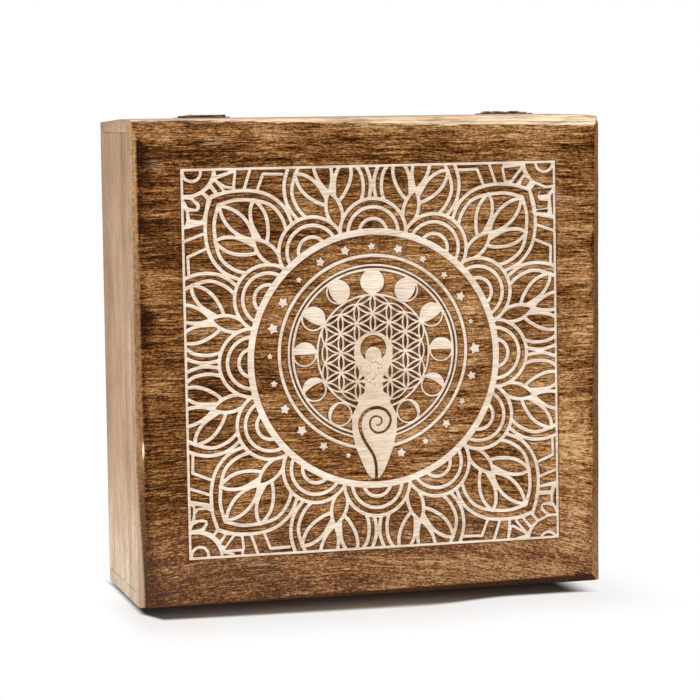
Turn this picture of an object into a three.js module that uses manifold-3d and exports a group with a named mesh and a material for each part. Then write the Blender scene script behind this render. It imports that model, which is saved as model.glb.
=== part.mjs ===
// A square keepsake box of mango wood with a hinged lid. It stands on its front walls, as it does on
// show, so the lid's face looks towards -Y and the two butt hinges lie on top. Millimetres, +Z up.
import * as THREE from "three";
import Module from "manifold-3d";
import { mergeVertices } from "three/addons/utils/BufferGeometryUtils.js";
import { ConvexGeometry } from "three/addons/geometries/ConvexGeometry.js";

const wasm = await Module();
wasm.setup();

// The box as a whole
const boxWidth = 250; // along X
const boxHeight = 249; // along Z, from the floor to the hinged back
const baseDepth = 60; // along Y, the tray
const lidDepth = 32; // along Y, the lid's rails and its top board

// Boards and the lines between them
const wallThickness = 7; // of the tray's walls
const railThickness = 7; // of the lid's rails
const topBoardThickness = 12;
const bottomBoardThickness = 4;
const bottomBoardLap = 3.5; // how far the bottom board is let into each wall
const glueLine = 0.05; // between boards that are glued together
const seamGap = 0.4; // between the lid's rails and the tray's walls

// The chamfer round the lid's face, cut by hand, so each edge has its own width at each end
const chamferTopLeft = 2.8;
const chamferTopRight = 6.2;
const chamferBottomLeft = 0.6;
const chamferBottomRight = 4.6;
const chamferLeftLow = 3.9;
const chamferLeftHigh = 2.4;
const chamferRightLow = 6;
const chamferRightHigh = 3;
const cutterMargin = 5; // how far a cutter runs past what it cuts

// The engraved square on the lid's face. Its lines are drawn in millimetres for a square of 200 mm.
const engravingMargin = 24.5; // from the nearer edges of the box to the square
const engravingDepth = 0.6;
const engravingShiftX = 0.36;
const engravingShiftZ = -0.35;
const engravingTurn = 0.28; // degrees, anticlockwise seen from the front
const drawnHalf = 100;
const frameLineWidth = 1.3;
const petalLineWidth = 1.85;
const petalTurnCentre = [0.5, 0];
const bandCentre = [0.3, -0.36];
const bandRadius = 65.9;
const bandWidth = 3.4;
const scallopDistance = 64.9; // from the petals' centre to the scallops'
const scallopRadii = [17.7, 13.4];
const skyCentre = [-0.43, 3.14];
const skyLineRadius = 50.1;
const skyLineWidth = 1.7;
const starCircleRadius = 44; // of the two thin circles, drawn here as one
const starCircleWidth = 3.4;
const moonDistance = 36.6;
const moonRadius = 6.4;
const cornerArcRadius = 14.3;
const cornerArcCentre = [3.1, -0.2]; // inwards from the corner
const petalOutlines = [
  [[0, 120.4], [8, 116.1], [16.5, 108.2], [21.5, 100], [23, 92], [22.1, 86], [19, 79]],
  [[0, 114.9], [8.2, 110], [15.2, 102], [18.5, 96], [19, 91], [17.7, 85], [15, 80]],
  [[0, 89.4], [4, 97], [4, 106.6], [0, 114.2]],
];
const shortestDetail = 0.12; // smaller steps in the drawn lines are left out
const ringFacets = 36;
const scallopFacets = 16;
const moonFacets = 10;
const figureSide = [
  [9.9, 3.6], [8.1, -5.7], [4.7, -11.4], [5.7, -19.6], [9.9, -25.7], [12.1, -34.7], [10.3, -45.7], [1.9, -62.9],
];

// The two butt hinges
const hingeInset = 43; // from each side of the box to the middle of its hinge
const leafWidth = 26; // along the pin
const leafReach = 10.5; // from the pin's axis to a leaf's far edge
const leafThickness = 0.5;
const leafShoulder = 3.4; // where a leaf has widened from its knuckles to its full width
const leafCornerCut = 1.2;
const leafSeat = 0.05; // between a leaf and the wood
const barrelLength = 25.4;
const barrelRadius = 0.8;
const knuckleCount = 5;
const knuckleGap = 0.3; // along the pin, between one leaf's knuckles and the other's
const leafRunningGap = 0.25; // between a leaf's plate and the other leaf's knuckles
const pinRadius = 0.38;
const pinClearance = 0.1;

// The hinge screws
const screwSpacing = 15; // between the two screws of a leaf
const screwReach = 6.6; // from the pin's axis to the screws
const screwHeadRadius = 2.1;
const screwHeadHeight = 1; // of the cone under the head
const screwDomeHeight = 0.2;
const screwShankRadius = 1;
const screwLength = 5.8; // from under the dome to the point
const screwPointLength = 1.6;
const screwClearance = 0.25; // round the head and the shank

// Facets of the round pieces
const roundFacets = 24;
const screwFacets = 16;

// Places worked out from the sizes
const faceY = -(baseDepth + lidDepth) / 2;
const seamY = faceY + lidDepth;
const backY = seamY + baseDepth;
const halfWidth = boxWidth / 2;
const railFrontY = faceY + topBoardThickness + glueLine;
const railBackY = seamY - seamGap / 2;
const trayFrontY = seamY + seamGap / 2;
const panelY = backY - bottomBoardThickness;
const axisHeight = leafSeat + barrelRadius; // of the pin's axis over the wood
const hingePlaces = { left: hingeInset - halfWidth, right: halfWidth - hingeInset };

// Finishes
const stainedWood = new THREE.MeshStandardMaterial({ color: 0x80532e, roughness: 0.62, metalness: 0 });
const washedWood = new THREE.MeshStandardMaterial({ color: 0xc9a98b, roughness: 0.7, metalness: 0 });
const panelWood = new THREE.MeshStandardMaterial({ color: 0xb08a62, roughness: 0.8, metalness: 0 });
const agedMetal = new THREE.MeshStandardMaterial({ color: 0x4a3626, roughness: 0.5, metalness: 0.85 });

// A closed geometry as a solid that can be cut and joined
function solidOf(geometry) {
  const bare = geometry.clone();
  bare.deleteAttribute("normal");
  bare.deleteAttribute("uv");
  const merged = mergeVertices(bare);
  const vertProperties = merged.getAttribute("position").array;
  const triVerts = new Uint32Array(merged.index.array);
  return new wasm.Manifold(new wasm.Mesh({ numProp: 3, vertProperties, triVerts }));
}

function geometryOf(solid) {
  const made = solid.getMesh();
  const geometry = new THREE.BufferGeometry();
  geometry.setAttribute("position", new THREE.BufferAttribute(made.vertProperties, 3));
  geometry.setIndex(new THREE.BufferAttribute(made.triVerts, 1));
  geometry.computeVertexNormals();
  return geometry;
}

function namedMesh(name, solid, material) {
  const mesh = new THREE.Mesh(geometryOf(solid), material);
  mesh.name = name;
  return mesh;
}

// A straight board between two corners
function board(low, high) {
  const [x0, y0, z0] = low;
  const [x1, y1, z1] = high;
  const geometry = new THREE.BoxGeometry(x1 - x0, y1 - y0, z1 - z0);
  geometry.translate((x0 + x1) / 2, (y0 + y1) / 2, (z0 + z1) / 2);
  return solidOf(geometry);
}

// A flat ribbon of this width along a line of points
function ribbon(points, width) {
  const sides = [[], []];
  points.forEach((point, index) => {
    const before = points[Math.max(index - 1, 0)];
    const after = points[Math.min(index + 1, points.length - 1)];
    const length = Math.hypot(after[0] - before[0], after[1] - before[1]);
    const across = [(before[1] - after[1]) / length, (after[0] - before[0]) / length];
    sides[0].push([point[0] + (across[0] * width) / 2, point[1] + (across[1] * width) / 2]);
    sides[1].push([point[0] - (across[0] * width) / 2, point[1] - (across[1] * width) / 2]);
  });
  return new wasm.CrossSection([[...sides[0], ...sides[1].reverse()]], "NonZero");
}

function disc(centre, radius, facets) {
  return wasm.CrossSection.circle(radius, facets).translate(centre);
}

function circleLine(centre, radius, width, facets) {
  return disc(centre, radius + width / 2, facets).subtract(disc(centre, radius - width / 2, facets));
}

// The petal's lines, drawn for one that points up
function petalLines() {
  const lines = petalOutlines.map((points) => ribbon(points, petalLineWidth));
  return wasm.CrossSection.union([...lines, ...lines.map((line) => line.mirror([1, 0]))]);
}

// Where a point lies after a clockwise turn round a centre
function turnedPlace(distance, degrees, centre) {
  const angle = (degrees * Math.PI) / 180;
  return [centre[0] + distance * Math.sin(angle), centre[1] + distance * Math.cos(angle)];
}

// The main lines of the engraving, flat, in its own square
function engravedLines() {
  const petal = petalLines();
  const turns = Array.from({ length: 12 }, (_, index) => index * 30);
  let petals = wasm.CrossSection.union(
    turns.map((degrees) => petal.rotate(-degrees - 15).translate(petalTurnCentre)),
  );
  let scallops = wasm.CrossSection.union([]);
  for (const degrees of turns) {
    const centre = turnedPlace(scallopDistance, degrees, petalTurnCentre);
    petals = petals.subtract(disc(centre, scallopRadii[0], scallopFacets));
    const arcs = scallopRadii.map((radius) => circleLine(centre, radius, petalLineWidth, scallopFacets));
    const outside = turns
      .filter((other) => other !== degrees)
      .map((other) => disc(turnedPlace(scallopDistance, other, petalTurnCentre), scallopRadii[0], scallopFacets));
    scallops = scallops.add(wasm.CrossSection.union(arcs).subtract(wasm.CrossSection.union(outside)));
  }
  const figure = [...figureSide, ...figureSide.map(([x, y]) => [-x, y]).reverse()];
  const square = wasm.CrossSection.square([2 * drawnHalf, 2 * drawnHalf], true);
  const inner = wasm.CrossSection.square(Array(2).fill(2 * (drawnHalf - frameLineWidth)), true);
  const moons = turns
    .filter((degrees) => degrees !== 180)
    .map((degrees) => disc(turnedPlace(moonDistance, degrees, skyCentre), moonRadius, moonFacets));
  const corners = [[-1, -1], [1, -1], [1, 1], [-1, 1]].map(([x, y]) => {
    const centre = [x * (drawnHalf - cornerArcCentre[0]), y * (drawnHalf - cornerArcCentre[1])];
    return circleLine(centre, cornerArcRadius, petalLineWidth, scallopFacets);
  });
  return petals
    .add(scallops)
    .subtract(disc(bandCentre, bandRadius, ringFacets))
    .add(wasm.CrossSection.union(corners))
    .add(circleLine(bandCentre, bandRadius, bandWidth, ringFacets))
    .add(circleLine(skyCentre, skyLineRadius, skyLineWidth, ringFacets))
    .add(circleLine(skyCentre, starCircleRadius, starCircleWidth, ringFacets))
    .add(wasm.CrossSection.union(moons))
    .add(new wasm.CrossSection([figure], "NonZero").translate([skyCentre[0], 0]))
    .intersect(square)
    .add(square.subtract(inner))
    .simplify(shortestDetail);
}

// The engraving as a cutter that reaches its depth into the lid's face
function engravingCutter() {
  const scale = (Math.min(boxWidth, boxHeight) / 2 - engravingMargin) / drawnHalf;
  return engravedLines()
    .scale([scale, scale])
    .rotate(engravingTurn)
    .translate([engravingShiftX, engravingShiftZ + boxHeight / 2])
    .extrude(engravingDepth + cutterMargin)
    .rotate([90, 0, 0])
    .translate([0, faceY + engravingDepth, 0]);
}

// A wedge that planes a 45 degree chamfer along one edge of the lid's face. The edge runs between two
// corners [x, z], out is the direction [x, z] away from the board, and the width changes evenly.
function chamferCutter(start, end, out, startWidth, endWidth) {
  const length = Math.hypot(end[0] - start[0], end[1] - start[1]);
  const points = [];
  for (const share of [-cutterMargin / length, 1 + cutterMargin / length]) {
    const width = startWidth + (endWidth - startWidth) * share;
    const x = start[0] + (end[0] - start[0]) * share;
    const z = start[1] + (end[1] - start[1]) * share;
    const place = (away, y) => new THREE.Vector3(x + out[0] * away, y, z + out[1] * away);
    points.push(place(cutterMargin, faceY - cutterMargin));
    points.push(place(cutterMargin, faceY + width + cutterMargin));
    points.push(place(-width - cutterMargin, faceY - cutterMargin));
  }
  return solidOf(new ConvexGeometry(points));
}

// The lid's top board, chamfered on all four edges of its face and engraved
function topBoard() {
  const bottomLeft = [-halfWidth, 0];
  const bottomRight = [halfWidth, 0];
  const topLeft = [-halfWidth, boxHeight];
  const topRight = [halfWidth, boxHeight];
  return board([-halfWidth, faceY, 0], [halfWidth, faceY + topBoardThickness, boxHeight])
    .subtract(chamferCutter(topLeft, topRight, [0, 1], chamferTopLeft, chamferTopRight))
    .subtract(chamferCutter(bottomLeft, bottomRight, [0, -1], chamferBottomLeft, chamferBottomRight))
    .subtract(chamferCutter(bottomLeft, topLeft, [-1, 0], chamferLeftLow, chamferLeftHigh))
    .subtract(chamferCutter(bottomRight, topRight, [1, 0], chamferRightLow, chamferRightHigh))
    .subtract(engravingCutter());
}

// Four boards round a frame. The front and back ones run the full width and cover the ends of the
// side ones, as the end grain on the side of the box shows.
function frameBoards(thickness, y0, y1) {
  const inner = halfWidth - thickness;
  const low = thickness + glueLine;
  const high = boxHeight - thickness - glueLine;
  return {
    front: board([-halfWidth, y0, 0], [halfWidth, y1, thickness]),
    back: board([-halfWidth, y0, boxHeight - thickness], [halfWidth, y1, boxHeight]),
    left: board([-halfWidth, y0, low], [-inner, y1, high]),
    right: board([inner, y0, low], [halfWidth, y1, high]),
  };
}

// The bottom board lies in a rebate round the inside of the walls, flush with their edges
function bottomBoard(gap) {
  const reach = halfWidth - wallThickness + bottomBoardLap + gap;
  const low = wallThickness - bottomBoardLap - gap;
  const high = boxHeight - wallThickness + bottomBoardLap + gap;
  const outside = gap > 0 ? cutterMargin : 0;
  return board([-reach, panelY - gap, low], [reach, backY + outside, high]);
}

function roundBar(radius, length) {
  const geometry = new THREE.CylinderGeometry(radius, radius, length, roundFacets);
  geometry.rotateZ(Math.PI / 2);
  return solidOf(geometry);
}

// A turned shape round the Z axis, from a profile of [radius, height] that starts and ends on the axis
function turned(profile) {
  const points = profile.map(([radius, height]) => new THREE.Vector2(radius, height));
  const geometry = new THREE.LatheGeometry(points, screwFacets);
  geometry.rotateX(Math.PI / 2);
  return solidOf(geometry);
}

// A countersunk wood screw, its head level with Z = 0 and its point down
function screw() {
  return turned([
    [0, -screwLength],
    [screwShankRadius, screwPointLength - screwLength],
    [screwShankRadius, -screwHeadHeight],
    [screwHeadRadius, 0],
    [screwHeadRadius * Math.cos(Math.PI / 4), screwDomeHeight * Math.sin(Math.PI / 4)],
    [0, screwDomeHeight],
  ]);
}

// The hole that such a screw sits in, open at the top
function screwHole() {
  const shank = screwShankRadius + screwClearance;
  const head = screwHeadRadius + screwClearance;
  return turned([
    [0, -screwLength - screwClearance],
    [shank, -screwLength - screwClearance],
    [shank, -screwHeadHeight],
    [head, 0],
    [head, cutterMargin],
    [0, cutterMargin],
  ]);
}

// Where a leaf's screws stand from the middle of its hinge: side is 1 on the tray and -1 on the lid
function screwSpots(side) {
  return [-screwSpacing / 2, screwSpacing / 2].map((x) => [x, side * screwReach, leafSeat + leafThickness]);
}

// Outline of a leaf's plate: it starts behind the knuckles and widens to its full width
function plateOutline(side) {
  const near = barrelRadius + leafRunningGap;
  const wide = leafWidth / 2;
  const half = [
    [barrelLength / 2, near],
    [wide, leafShoulder],
    [wide, leafReach - leafCornerCut],
    [wide - leafCornerCut, leafReach],
  ];
  const mirrored = half.map(([x, y]) => [-x, y]).reverse();
  const points = [...half, ...mirrored].map(([x, y]) => new THREE.Vector2(x, side * y));
  return new THREE.Shape(points);
}

// One knuckle of a leaf, with the strip that carries it from the plate
function knuckle(index, side) {
  const pitch = barrelLength / knuckleCount;
  const length = pitch - knuckleGap;
  const x = -barrelLength / 2 + pitch * (index + 0.5);
  const reach = side * (barrelRadius + 2 * leafRunningGap);
  const [y0, y1] = side > 0 ? [0, reach] : [reach, 0];
  const strip = board([x - length / 2, y0, leafSeat], [x + length / 2, y1, leafSeat + leafThickness]);
  return roundBar(barrelRadius, length).translate([x, 0, axisHeight]).add(strip);
}

function hingeLeaf(side) {
  const plate = new THREE.ExtrudeGeometry(plateOutline(side), { depth: leafThickness, bevelEnabled: false });
  plate.translate(0, 0, leafSeat);
  let leaf = solidOf(plate);
  const first = side > 0 ? 0 : 1;
  for (let index = first; index < knuckleCount; index += 2) leaf = leaf.add(knuckle(index, side));
  const bore = roundBar(pinRadius + pinClearance, barrelLength + 2 * cutterMargin);
  leaf = leaf.subtract(bore.translate([0, 0, axisHeight]));
  for (const spot of screwSpots(side)) leaf = leaf.subtract(screwHole().translate(spot));
  return leaf;
}

// Screw holes of both hinges in the wood of the tray (side 1) or the lid (side -1)
function drillScrewHoles(wood, side) {
  let drilled = wood;
  for (const hingeX of Object.values(hingePlaces)) {
    for (const [x, y, z] of screwSpots(side)) {
      drilled = drilled.subtract(screwHole().translate([hingeX + x, seamY + y, boxHeight + z]));
    }
  }
  return drilled;
}

function buildTray() {
  const tray = new THREE.Group();
  const rebate = bottomBoard(glueLine);
  const walls = frameBoards(wallThickness, trayFrontY, backY);
  walls.back = drillScrewHoles(walls.back, 1);
  for (const [side, wall] of Object.entries(walls)) {
    tray.add(namedMesh(`base_${side}_wall`, wall.subtract(rebate), washedWood));
  }
  tray.add(namedMesh("base_bottom_board", bottomBoard(0), panelWood));
  return tray;
}

function buildLid() {
  const lid = new THREE.Group();
  const rails = frameBoards(railThickness, railFrontY, railBackY);
  rails.back = drillScrewHoles(rails.back, -1);
  for (const [side, rail] of Object.entries(rails)) {
    lid.add(namedMesh(`lid_${side}_rail`, rail, washedWood));
  }
  lid.add(namedMesh("lid_top_board", topBoard(), stainedWood));
  return lid;
}

// One hinge, its middle at the group's own origin: Y points from the lid to the tray
function buildHinge(place, x) {
  const hinge = new THREE.Group();
  hinge.position.set(x, seamY, boxHeight);
  for (const [owner, side] of [["base", 1], ["lid", -1]]) {
    hinge.add(namedMesh(`hinge_${place}_${owner}_leaf`, hingeLeaf(side), agedMetal));
    screwSpots(side).forEach((spot, index) => {
      const mesh = namedMesh(`hinge_${place}_${owner}_screw_${index + 1}`, screw(), agedMetal);
      mesh.position.set(...spot);
      hinge.add(mesh);
    });
  }
  const pin = namedMesh(`hinge_${place}_pin`, roundBar(pinRadius, barrelLength), agedMetal);
  pin.position.set(0, 0, axisHeight);
  hinge.add(pin);
  return hinge;
}

const box = new THREE.Group();
box.add(buildTray(), buildLid());
for (const [place, x] of Object.entries(hingePlaces)) box.add(buildHinge(place, x));

export default box;
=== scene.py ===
# %% [markdown]
# # A carved keepsake box, finished in Blender
#
# The imported model gives the boards, hinges and screws as plain solids. This lesson dresses them: the
# engraved lid, the washed side boards made paler with painted light, the curled hinge knuckles and the
# slotted screws. The frame is that of the imported model, with the floor at Z = 0 and the lid's face
# towards -Y. Sizes are written in millimetres and turned into metres where they reach Blender.

# %% Load the imported model
import math
from functools import partialmethod

import bmesh
import bpy
import numpy as np
from mathutils import Matrix, Vector
from mathutils.geometry import delaunay_2d_cdt


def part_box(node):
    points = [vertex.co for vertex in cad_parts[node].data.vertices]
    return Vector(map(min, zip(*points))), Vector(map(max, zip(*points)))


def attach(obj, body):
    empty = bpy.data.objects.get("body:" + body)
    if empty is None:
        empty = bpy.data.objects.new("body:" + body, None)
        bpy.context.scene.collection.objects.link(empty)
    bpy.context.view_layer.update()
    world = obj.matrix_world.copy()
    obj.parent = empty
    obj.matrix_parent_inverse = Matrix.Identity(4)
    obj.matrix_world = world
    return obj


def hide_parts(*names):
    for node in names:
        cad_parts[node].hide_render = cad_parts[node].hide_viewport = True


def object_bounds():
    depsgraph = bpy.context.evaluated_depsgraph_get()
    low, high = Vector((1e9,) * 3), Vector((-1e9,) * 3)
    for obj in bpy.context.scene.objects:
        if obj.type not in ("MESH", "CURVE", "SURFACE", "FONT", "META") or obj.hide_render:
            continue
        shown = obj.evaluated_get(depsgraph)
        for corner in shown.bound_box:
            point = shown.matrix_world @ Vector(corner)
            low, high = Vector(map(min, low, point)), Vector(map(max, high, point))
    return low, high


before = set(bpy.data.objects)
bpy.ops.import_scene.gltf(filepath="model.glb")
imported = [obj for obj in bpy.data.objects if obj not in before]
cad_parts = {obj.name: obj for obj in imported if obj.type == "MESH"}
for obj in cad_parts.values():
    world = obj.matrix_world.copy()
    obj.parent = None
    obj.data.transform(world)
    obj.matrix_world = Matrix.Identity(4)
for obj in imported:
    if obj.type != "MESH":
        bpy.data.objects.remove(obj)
cad_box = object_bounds()
MM = 0.001
LOW, HIGH = ([v / MM for v in corner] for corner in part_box("lid_top_board"))
WIDTH_X, WIDTH_Z = HIGH[0] - LOW[0], HIGH[2] - LOW[2]
# Half the width, the height, and where the lid's face, the seam and the underside lie along Y
EDGE_X, TOP_Z, FACE_Y, SEAM_Y = round(HIGH[0], 2), round(HIGH[2], 2), round(LOW[1], 2), -14.0
BOTTOM_Y = round(cad_box[1][1] / MM, 2)
print("nodes:", len(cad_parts), "box:", [round(v / MM, 2) for v in (*cad_box[0], *cad_box[1])])

# %% [markdown]
# ## Camera
#
# The box was photographed from a little left of its middle, with the lens about level with its top edge.
# A camera can be placed by eye, but vertical and horizontal edges of a known box give its place exactly,
# so the numbers below come from fitting those edges: where the lens stands, three turns and the lens.

# %% Place the camera
LENS_PLACE = Vector((-358.9, -1360.4, 247.9)) * MM
LENS_YAW, LENS_PITCH, LENS_ROLL = -14.756, -5.009, 0.753
LENS_LENGTH = 135.99


def placed(name, data):
    """a new object in the scene"""
    made = bpy.data.objects.new(name, data)
    bpy.context.scene.collection.objects.link(made)
    return made


def turn(degrees, axis):
    return Matrix.Rotation(math.radians(degrees), 4, axis)


camera = placed("camera", bpy.data.cameras.new("camera"))
camera.data.sensor_width = 36
camera.data.sensor_fit = "HORIZONTAL"
camera.data.lens = LENS_LENGTH
camera.data.clip_start = 0.05
aim = turn(LENS_YAW, "Z") @ turn(LENS_PITCH, "X") @ turn(LENS_ROLL, "Y") @ turn(90, "X")
camera.matrix_world = Matrix.Translation(LENS_PLACE) @ aim
bpy.context.scene.camera = camera
bpy.context.scene.view_settings.view_transform = "Standard"
print("camera at", [round(v, 3) for v in LENS_PLACE], "lens", LENS_LENGTH)

# %% [markdown]
# ## Writing node trees as sums
#
# Node trees are hard to read when every node is placed by hand. Here a small class holds one socket and
# turns Python arithmetic into Math nodes, so a mask can be written as `1 - stripes * 0.4`. Every other
# node comes from one method, `node`, which takes its type, its settings and what goes into its sockets.


# %% A socket with arithmetic
class Wire:
    """a node's socket, on which arithmetic adds Math nodes"""

    def __init__(self, tree, socket):
        self.tree, self.socket = tree, socket

    def maths(self, operation, *others):
        return self.tree.node("Math", {"operation": operation}, dict(enumerate((self, *others))))

    def __rsub__(self, other):
        return self * -1 + other

    def step(self, low, high, smooth=True):
        """0 below low, 1 above high, or the other way round where low is the larger"""
        settings = {"interpolation_type": "SMOOTHSTEP" if smooth else "LINEAR", "clamp": True}
        return self.tree.node("MapRange", settings, {"From Min": low, "From Max": high, "Value": self})


# Each method on the left adds the Math node on the right
OPERATIONS = {
    "__add__": "ADD", "__radd__": "ADD", "__sub__": "SUBTRACT", "__mul__": "MULTIPLY",
    "__rmul__": "MULTIPLY", "__truediv__": "DIVIDE", "power": "POWER", "absolute": "ABSOLUTE",
    "least": "MINIMUM", "most": "MAXIMUM",
}
for method, operation in OPERATIONS.items():
    setattr(Wire, method, partialmethod(Wire.maths, operation))
print("a socket can:", ", ".join(sorted(set(OPERATIONS.values()))).lower())


# %% A tree, and a finish that is one
def tone(red, green, blue):
    """a colour as a screen shows it, 0 to 255, as the linear one that a shader takes"""
    linear = []
    for part in (red, green, blue):
        part /= 255
        linear.append(part / 12.92 if part < 0.04045 else ((part + 0.055) / 1.055) ** 2.4)
    return (*linear, 1.0)


class Tree:
    """a node tree under construction"""

    def node(self, kind, settings=None, sockets=None, out=0):
        made = self.graph.nodes.new(kind if "Node" in kind else "ShaderNode" + kind)
        for key, value in (settings or {}).items():
            if key == "stops":
                self.set_stops(made.color_ramp.elements, value)
            else:
                setattr(made, key, value)
        for key, value in (sockets or {}).items():
            if isinstance(value, Wire):
                self.graph.links.new(value.socket, made.inputs[key])
            else:
                made.inputs[key].default_value = value
        return Wire(self, made.outputs[out]) if len(made.outputs) else made

    @staticmethod
    def set_stops(elements, stops):
        """each stop is a position and the red, green and blue of a colour"""
        while len(elements) > 1:
            elements.remove(elements[-1])
        elements[0].position = stops[0][0]
        elements[0].color = tone(*stops[0][1:])
        for position, *shade in stops[1:]:
            elements.new(position).color = tone(*shade)


class Finish(Tree):
    """the tree of a material, or of the world"""

    def __init__(self, name, kind="materials"):
        self.material = getattr(bpy.data, kind).new(name)
        self.material.use_nodes = True
        self.graph = self.material.node_tree
        self.graph.nodes.clear()

    def mix(self, factor, first, second, blend="MIX"):
        settings = {"data_type": "RGBA", "blend_type": blend}
        return self.node("Mix", settings, {0: factor, 6: first, 7: second}, out=2)

    def tint(self, color, factor, *shade):
        """the colour turned by this factor towards a red, green and blue"""
        return self.mix(factor, color, tone(*shade))

    def ramp(self, factor, *stops):
        return self.node("ValToRGB", {"stops": stops}, {0: factor})

    def places(self):
        """the object coordinates in millimetres, as a vector"""
        place = self.node("TexCoord", out=3)
        return self.node("VectorMath", {"operation": "SCALE"}, {0: place, 3: 1 / MM})

    def parts(self, vector):
        split = self.node("SeparateXYZ", sockets={0: vector}).socket.node
        return [Wire(self, socket) for socket in split.outputs]

    def vector(self, x, y, z):
        return self.node("CombineXYZ", sockets={0: x, 1: y, 2: z})

    def noise(self, vector, size, detail=2.0, rough=0.5):
        """soft noise about 0.5, stretched over size millimetres along X, Y and Z"""
        stretched = self.node("VectorMath", {"operation": "DIVIDE"}, {0: vector, 1: size})
        sockets = {"Vector": stretched, "Scale": 1.0, "Detail": detail, "Roughness": rough}
        return self.node("TexNoise", {"normalize": True}, {**sockets, "Distortion": 0.0})

    def seen(self):
        """1 where the camera looks, straight or by way of a gloss or a glass"""
        camera, glossy, clear = (self.node("LightPath", out=k) for k in (0, 3, 6))
        return camera.most(glossy).most(clear)

    def shader(self, color, roughness, height=None, relief=0.0, **constants):
        """a shader, with relief in millimetres"""
        sockets = {"Base Color": color, "Roughness": roughness}
        sockets.update({key.replace("_", " "): value for key, value in constants.items()})
        if height is not None:
            bump = {"Height": height, "Distance": relief * MM, "Strength": 1.0}
            sockets["Normal"] = self.node("Bump", sockets=bump)
        return self.node("BsdfPrincipled", sockets=sockets)

    def done(self, shader, output="OutputMaterial"):
        self.node(output, sockets={0: shader})
        return self.material


print("a middle brown is", [round(v, 3) for v in tone(128, 88, 54)[:3]])

# %% [markdown]
# ## The wood
#
# Mango wood is streaky: broad light and dark bands follow the grain, fine fibres lie on top, and short
# dark pores look like dashes. An image of wood would do, but noise that is stretched along the grain
# gives all of this at any size. One function draws it along a chosen axis, and each finish colours it.


# %% Grain along an axis
def grain(finish, along, place=None, seed=0.0, wave=1.6):
    """bands, streaks, fibres, grit and clouds of wood, each about 0, and pores, 0 to 1"""
    place = place or finish.places()
    x, y, z = finish.parts(place)
    lying = along == "X"
    sway = finish.noise(place, (55, 40, 55) if lying else (40, 40, 70))
    ripple = finish.noise(place, (11, 8, 4) if lying else (4, 8, 11), 1.0)
    across = (sway - 0.5) * (wave * 6) + (ripple - 0.5) * wave
    bent = finish.vector(x + seed, y, z + across) if lying else finish.vector(x + across, y, z + seed)

    def layer(vector, length, width, *detail):
        size = (length, width * 2, width) if lying else (width, width * 2, length)
        return finish.noise(vector, size, *detail)

    return {
        "bands": layer(bent, 90, 7, 3.0, 0.55) - 0.5,
        "streaks": layer(bent, 30, 1.3, 4.0, 0.65) - 0.5,
        "fibres": layer(bent, 7.5, 0.4, 3.0, 0.75) - 0.5,
        "grit": layer(bent, 1.5, 0.6, 1.0) - 0.5,
        "clouds": layer(place, 40, 25, 2.0, 0.55) - 0.5,
        "pores": layer(bent, 3.4, 0.42, 0.0).step(0.62, 0.72),
    }


# %% Marks left on the lid by stain, flame and wear
# Where each stands on the face, how far it reaches along X and Z, and how much lighter it makes the wood
MARKS = (
    (-111, 241, 15, 6, 0.24), (-119, 221, 5, 15, -0.26), (-119, 147, 4, 11, -0.22),
    (-119, 14, 6, 16, -0.16), (-60, 230, 58, 4, -0.10), (112, 231, 11, 5, -0.20),
    (55, 232, 40, 3, -0.10), (84, 240, 30, 2.6, 0.16), (20, 243, 70, 2.2, 0.16),
    (60, 10, 62, 8, 0.06), (104, 50, 18, 50, 0.2), (0, 124, 66, 66, 0.08),
)
SCUFFS = ((-112, 226, 4.5, 2.2), (-84, 236, 7, 1.2), (-60, 20, 9, 1.6), (100, 205, 4, 3))
NICK = (-121.7, 81.3, 0.5, 4.4)
FIGURE_CHEST, FIGURE_SKIRT = (0, 117, 8, 10), (0, 105, 17, 44)


def spot(x, z, mark, rough=0.0):
    """1 in the middle of a mark and 0 outside it, with a ragged edge where rough varies"""
    across, up = (x - mark[0]) / mark[2], (z - mark[1]) / mark[3]
    return ((across * across + up * up).power(0.5) + rough).step(1.35, 0.45)


print("marks:", len(MARKS), "scuffs:", len(SCUFFS))

# %% The worn chamfers of the lid, with a painted highlight on top and painted shade underneath
# Width of each chamfer in millimetres at its first and last end, from the left or from below
CHAMFER = {"left": (3.9, 2.4), "right": (6.0, 3.0), "bottom": (0.6, 4.6), "top": (2.8, 6.2)}
# Colours along each chamfer: how far along from the same end, then red, green and blue
CHAMFER_TONES = {
    "left": (
        (0.05, 76, 50, 34), (0.2, 104, 73, 48), (0.32, 156, 118, 76), (0.6, 142, 106, 74),
        (0.9, 184, 142, 100),
    ),
    "right": ((0.0, 204, 156, 112), (0.2, 156, 110, 70), (0.6, 138, 96, 60), (1.0, 180, 128, 78)),
    # Underneath: dark tones that are painted shade
    "bottom": ((0.0, 112, 78, 52), (1.0, 68, 42, 34)),
    # On top: near-white tones, rubbed wood with a painted highlight
    "top": ((0.0, 234, 212, 192), (0.35, 238, 209, 172), (1.0, 250, 227, 194)),
}
DARKENED = (0.36, 0.29, 0.25, 1)


def edge_gaps(x, z):
    """how far a place on the lid's face lies from each of its edges"""
    return {"left": x - LOW[0], "right": HIGH[0] - x, "bottom": z - LOW[2], "top": HIGH[2] - z}


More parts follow.
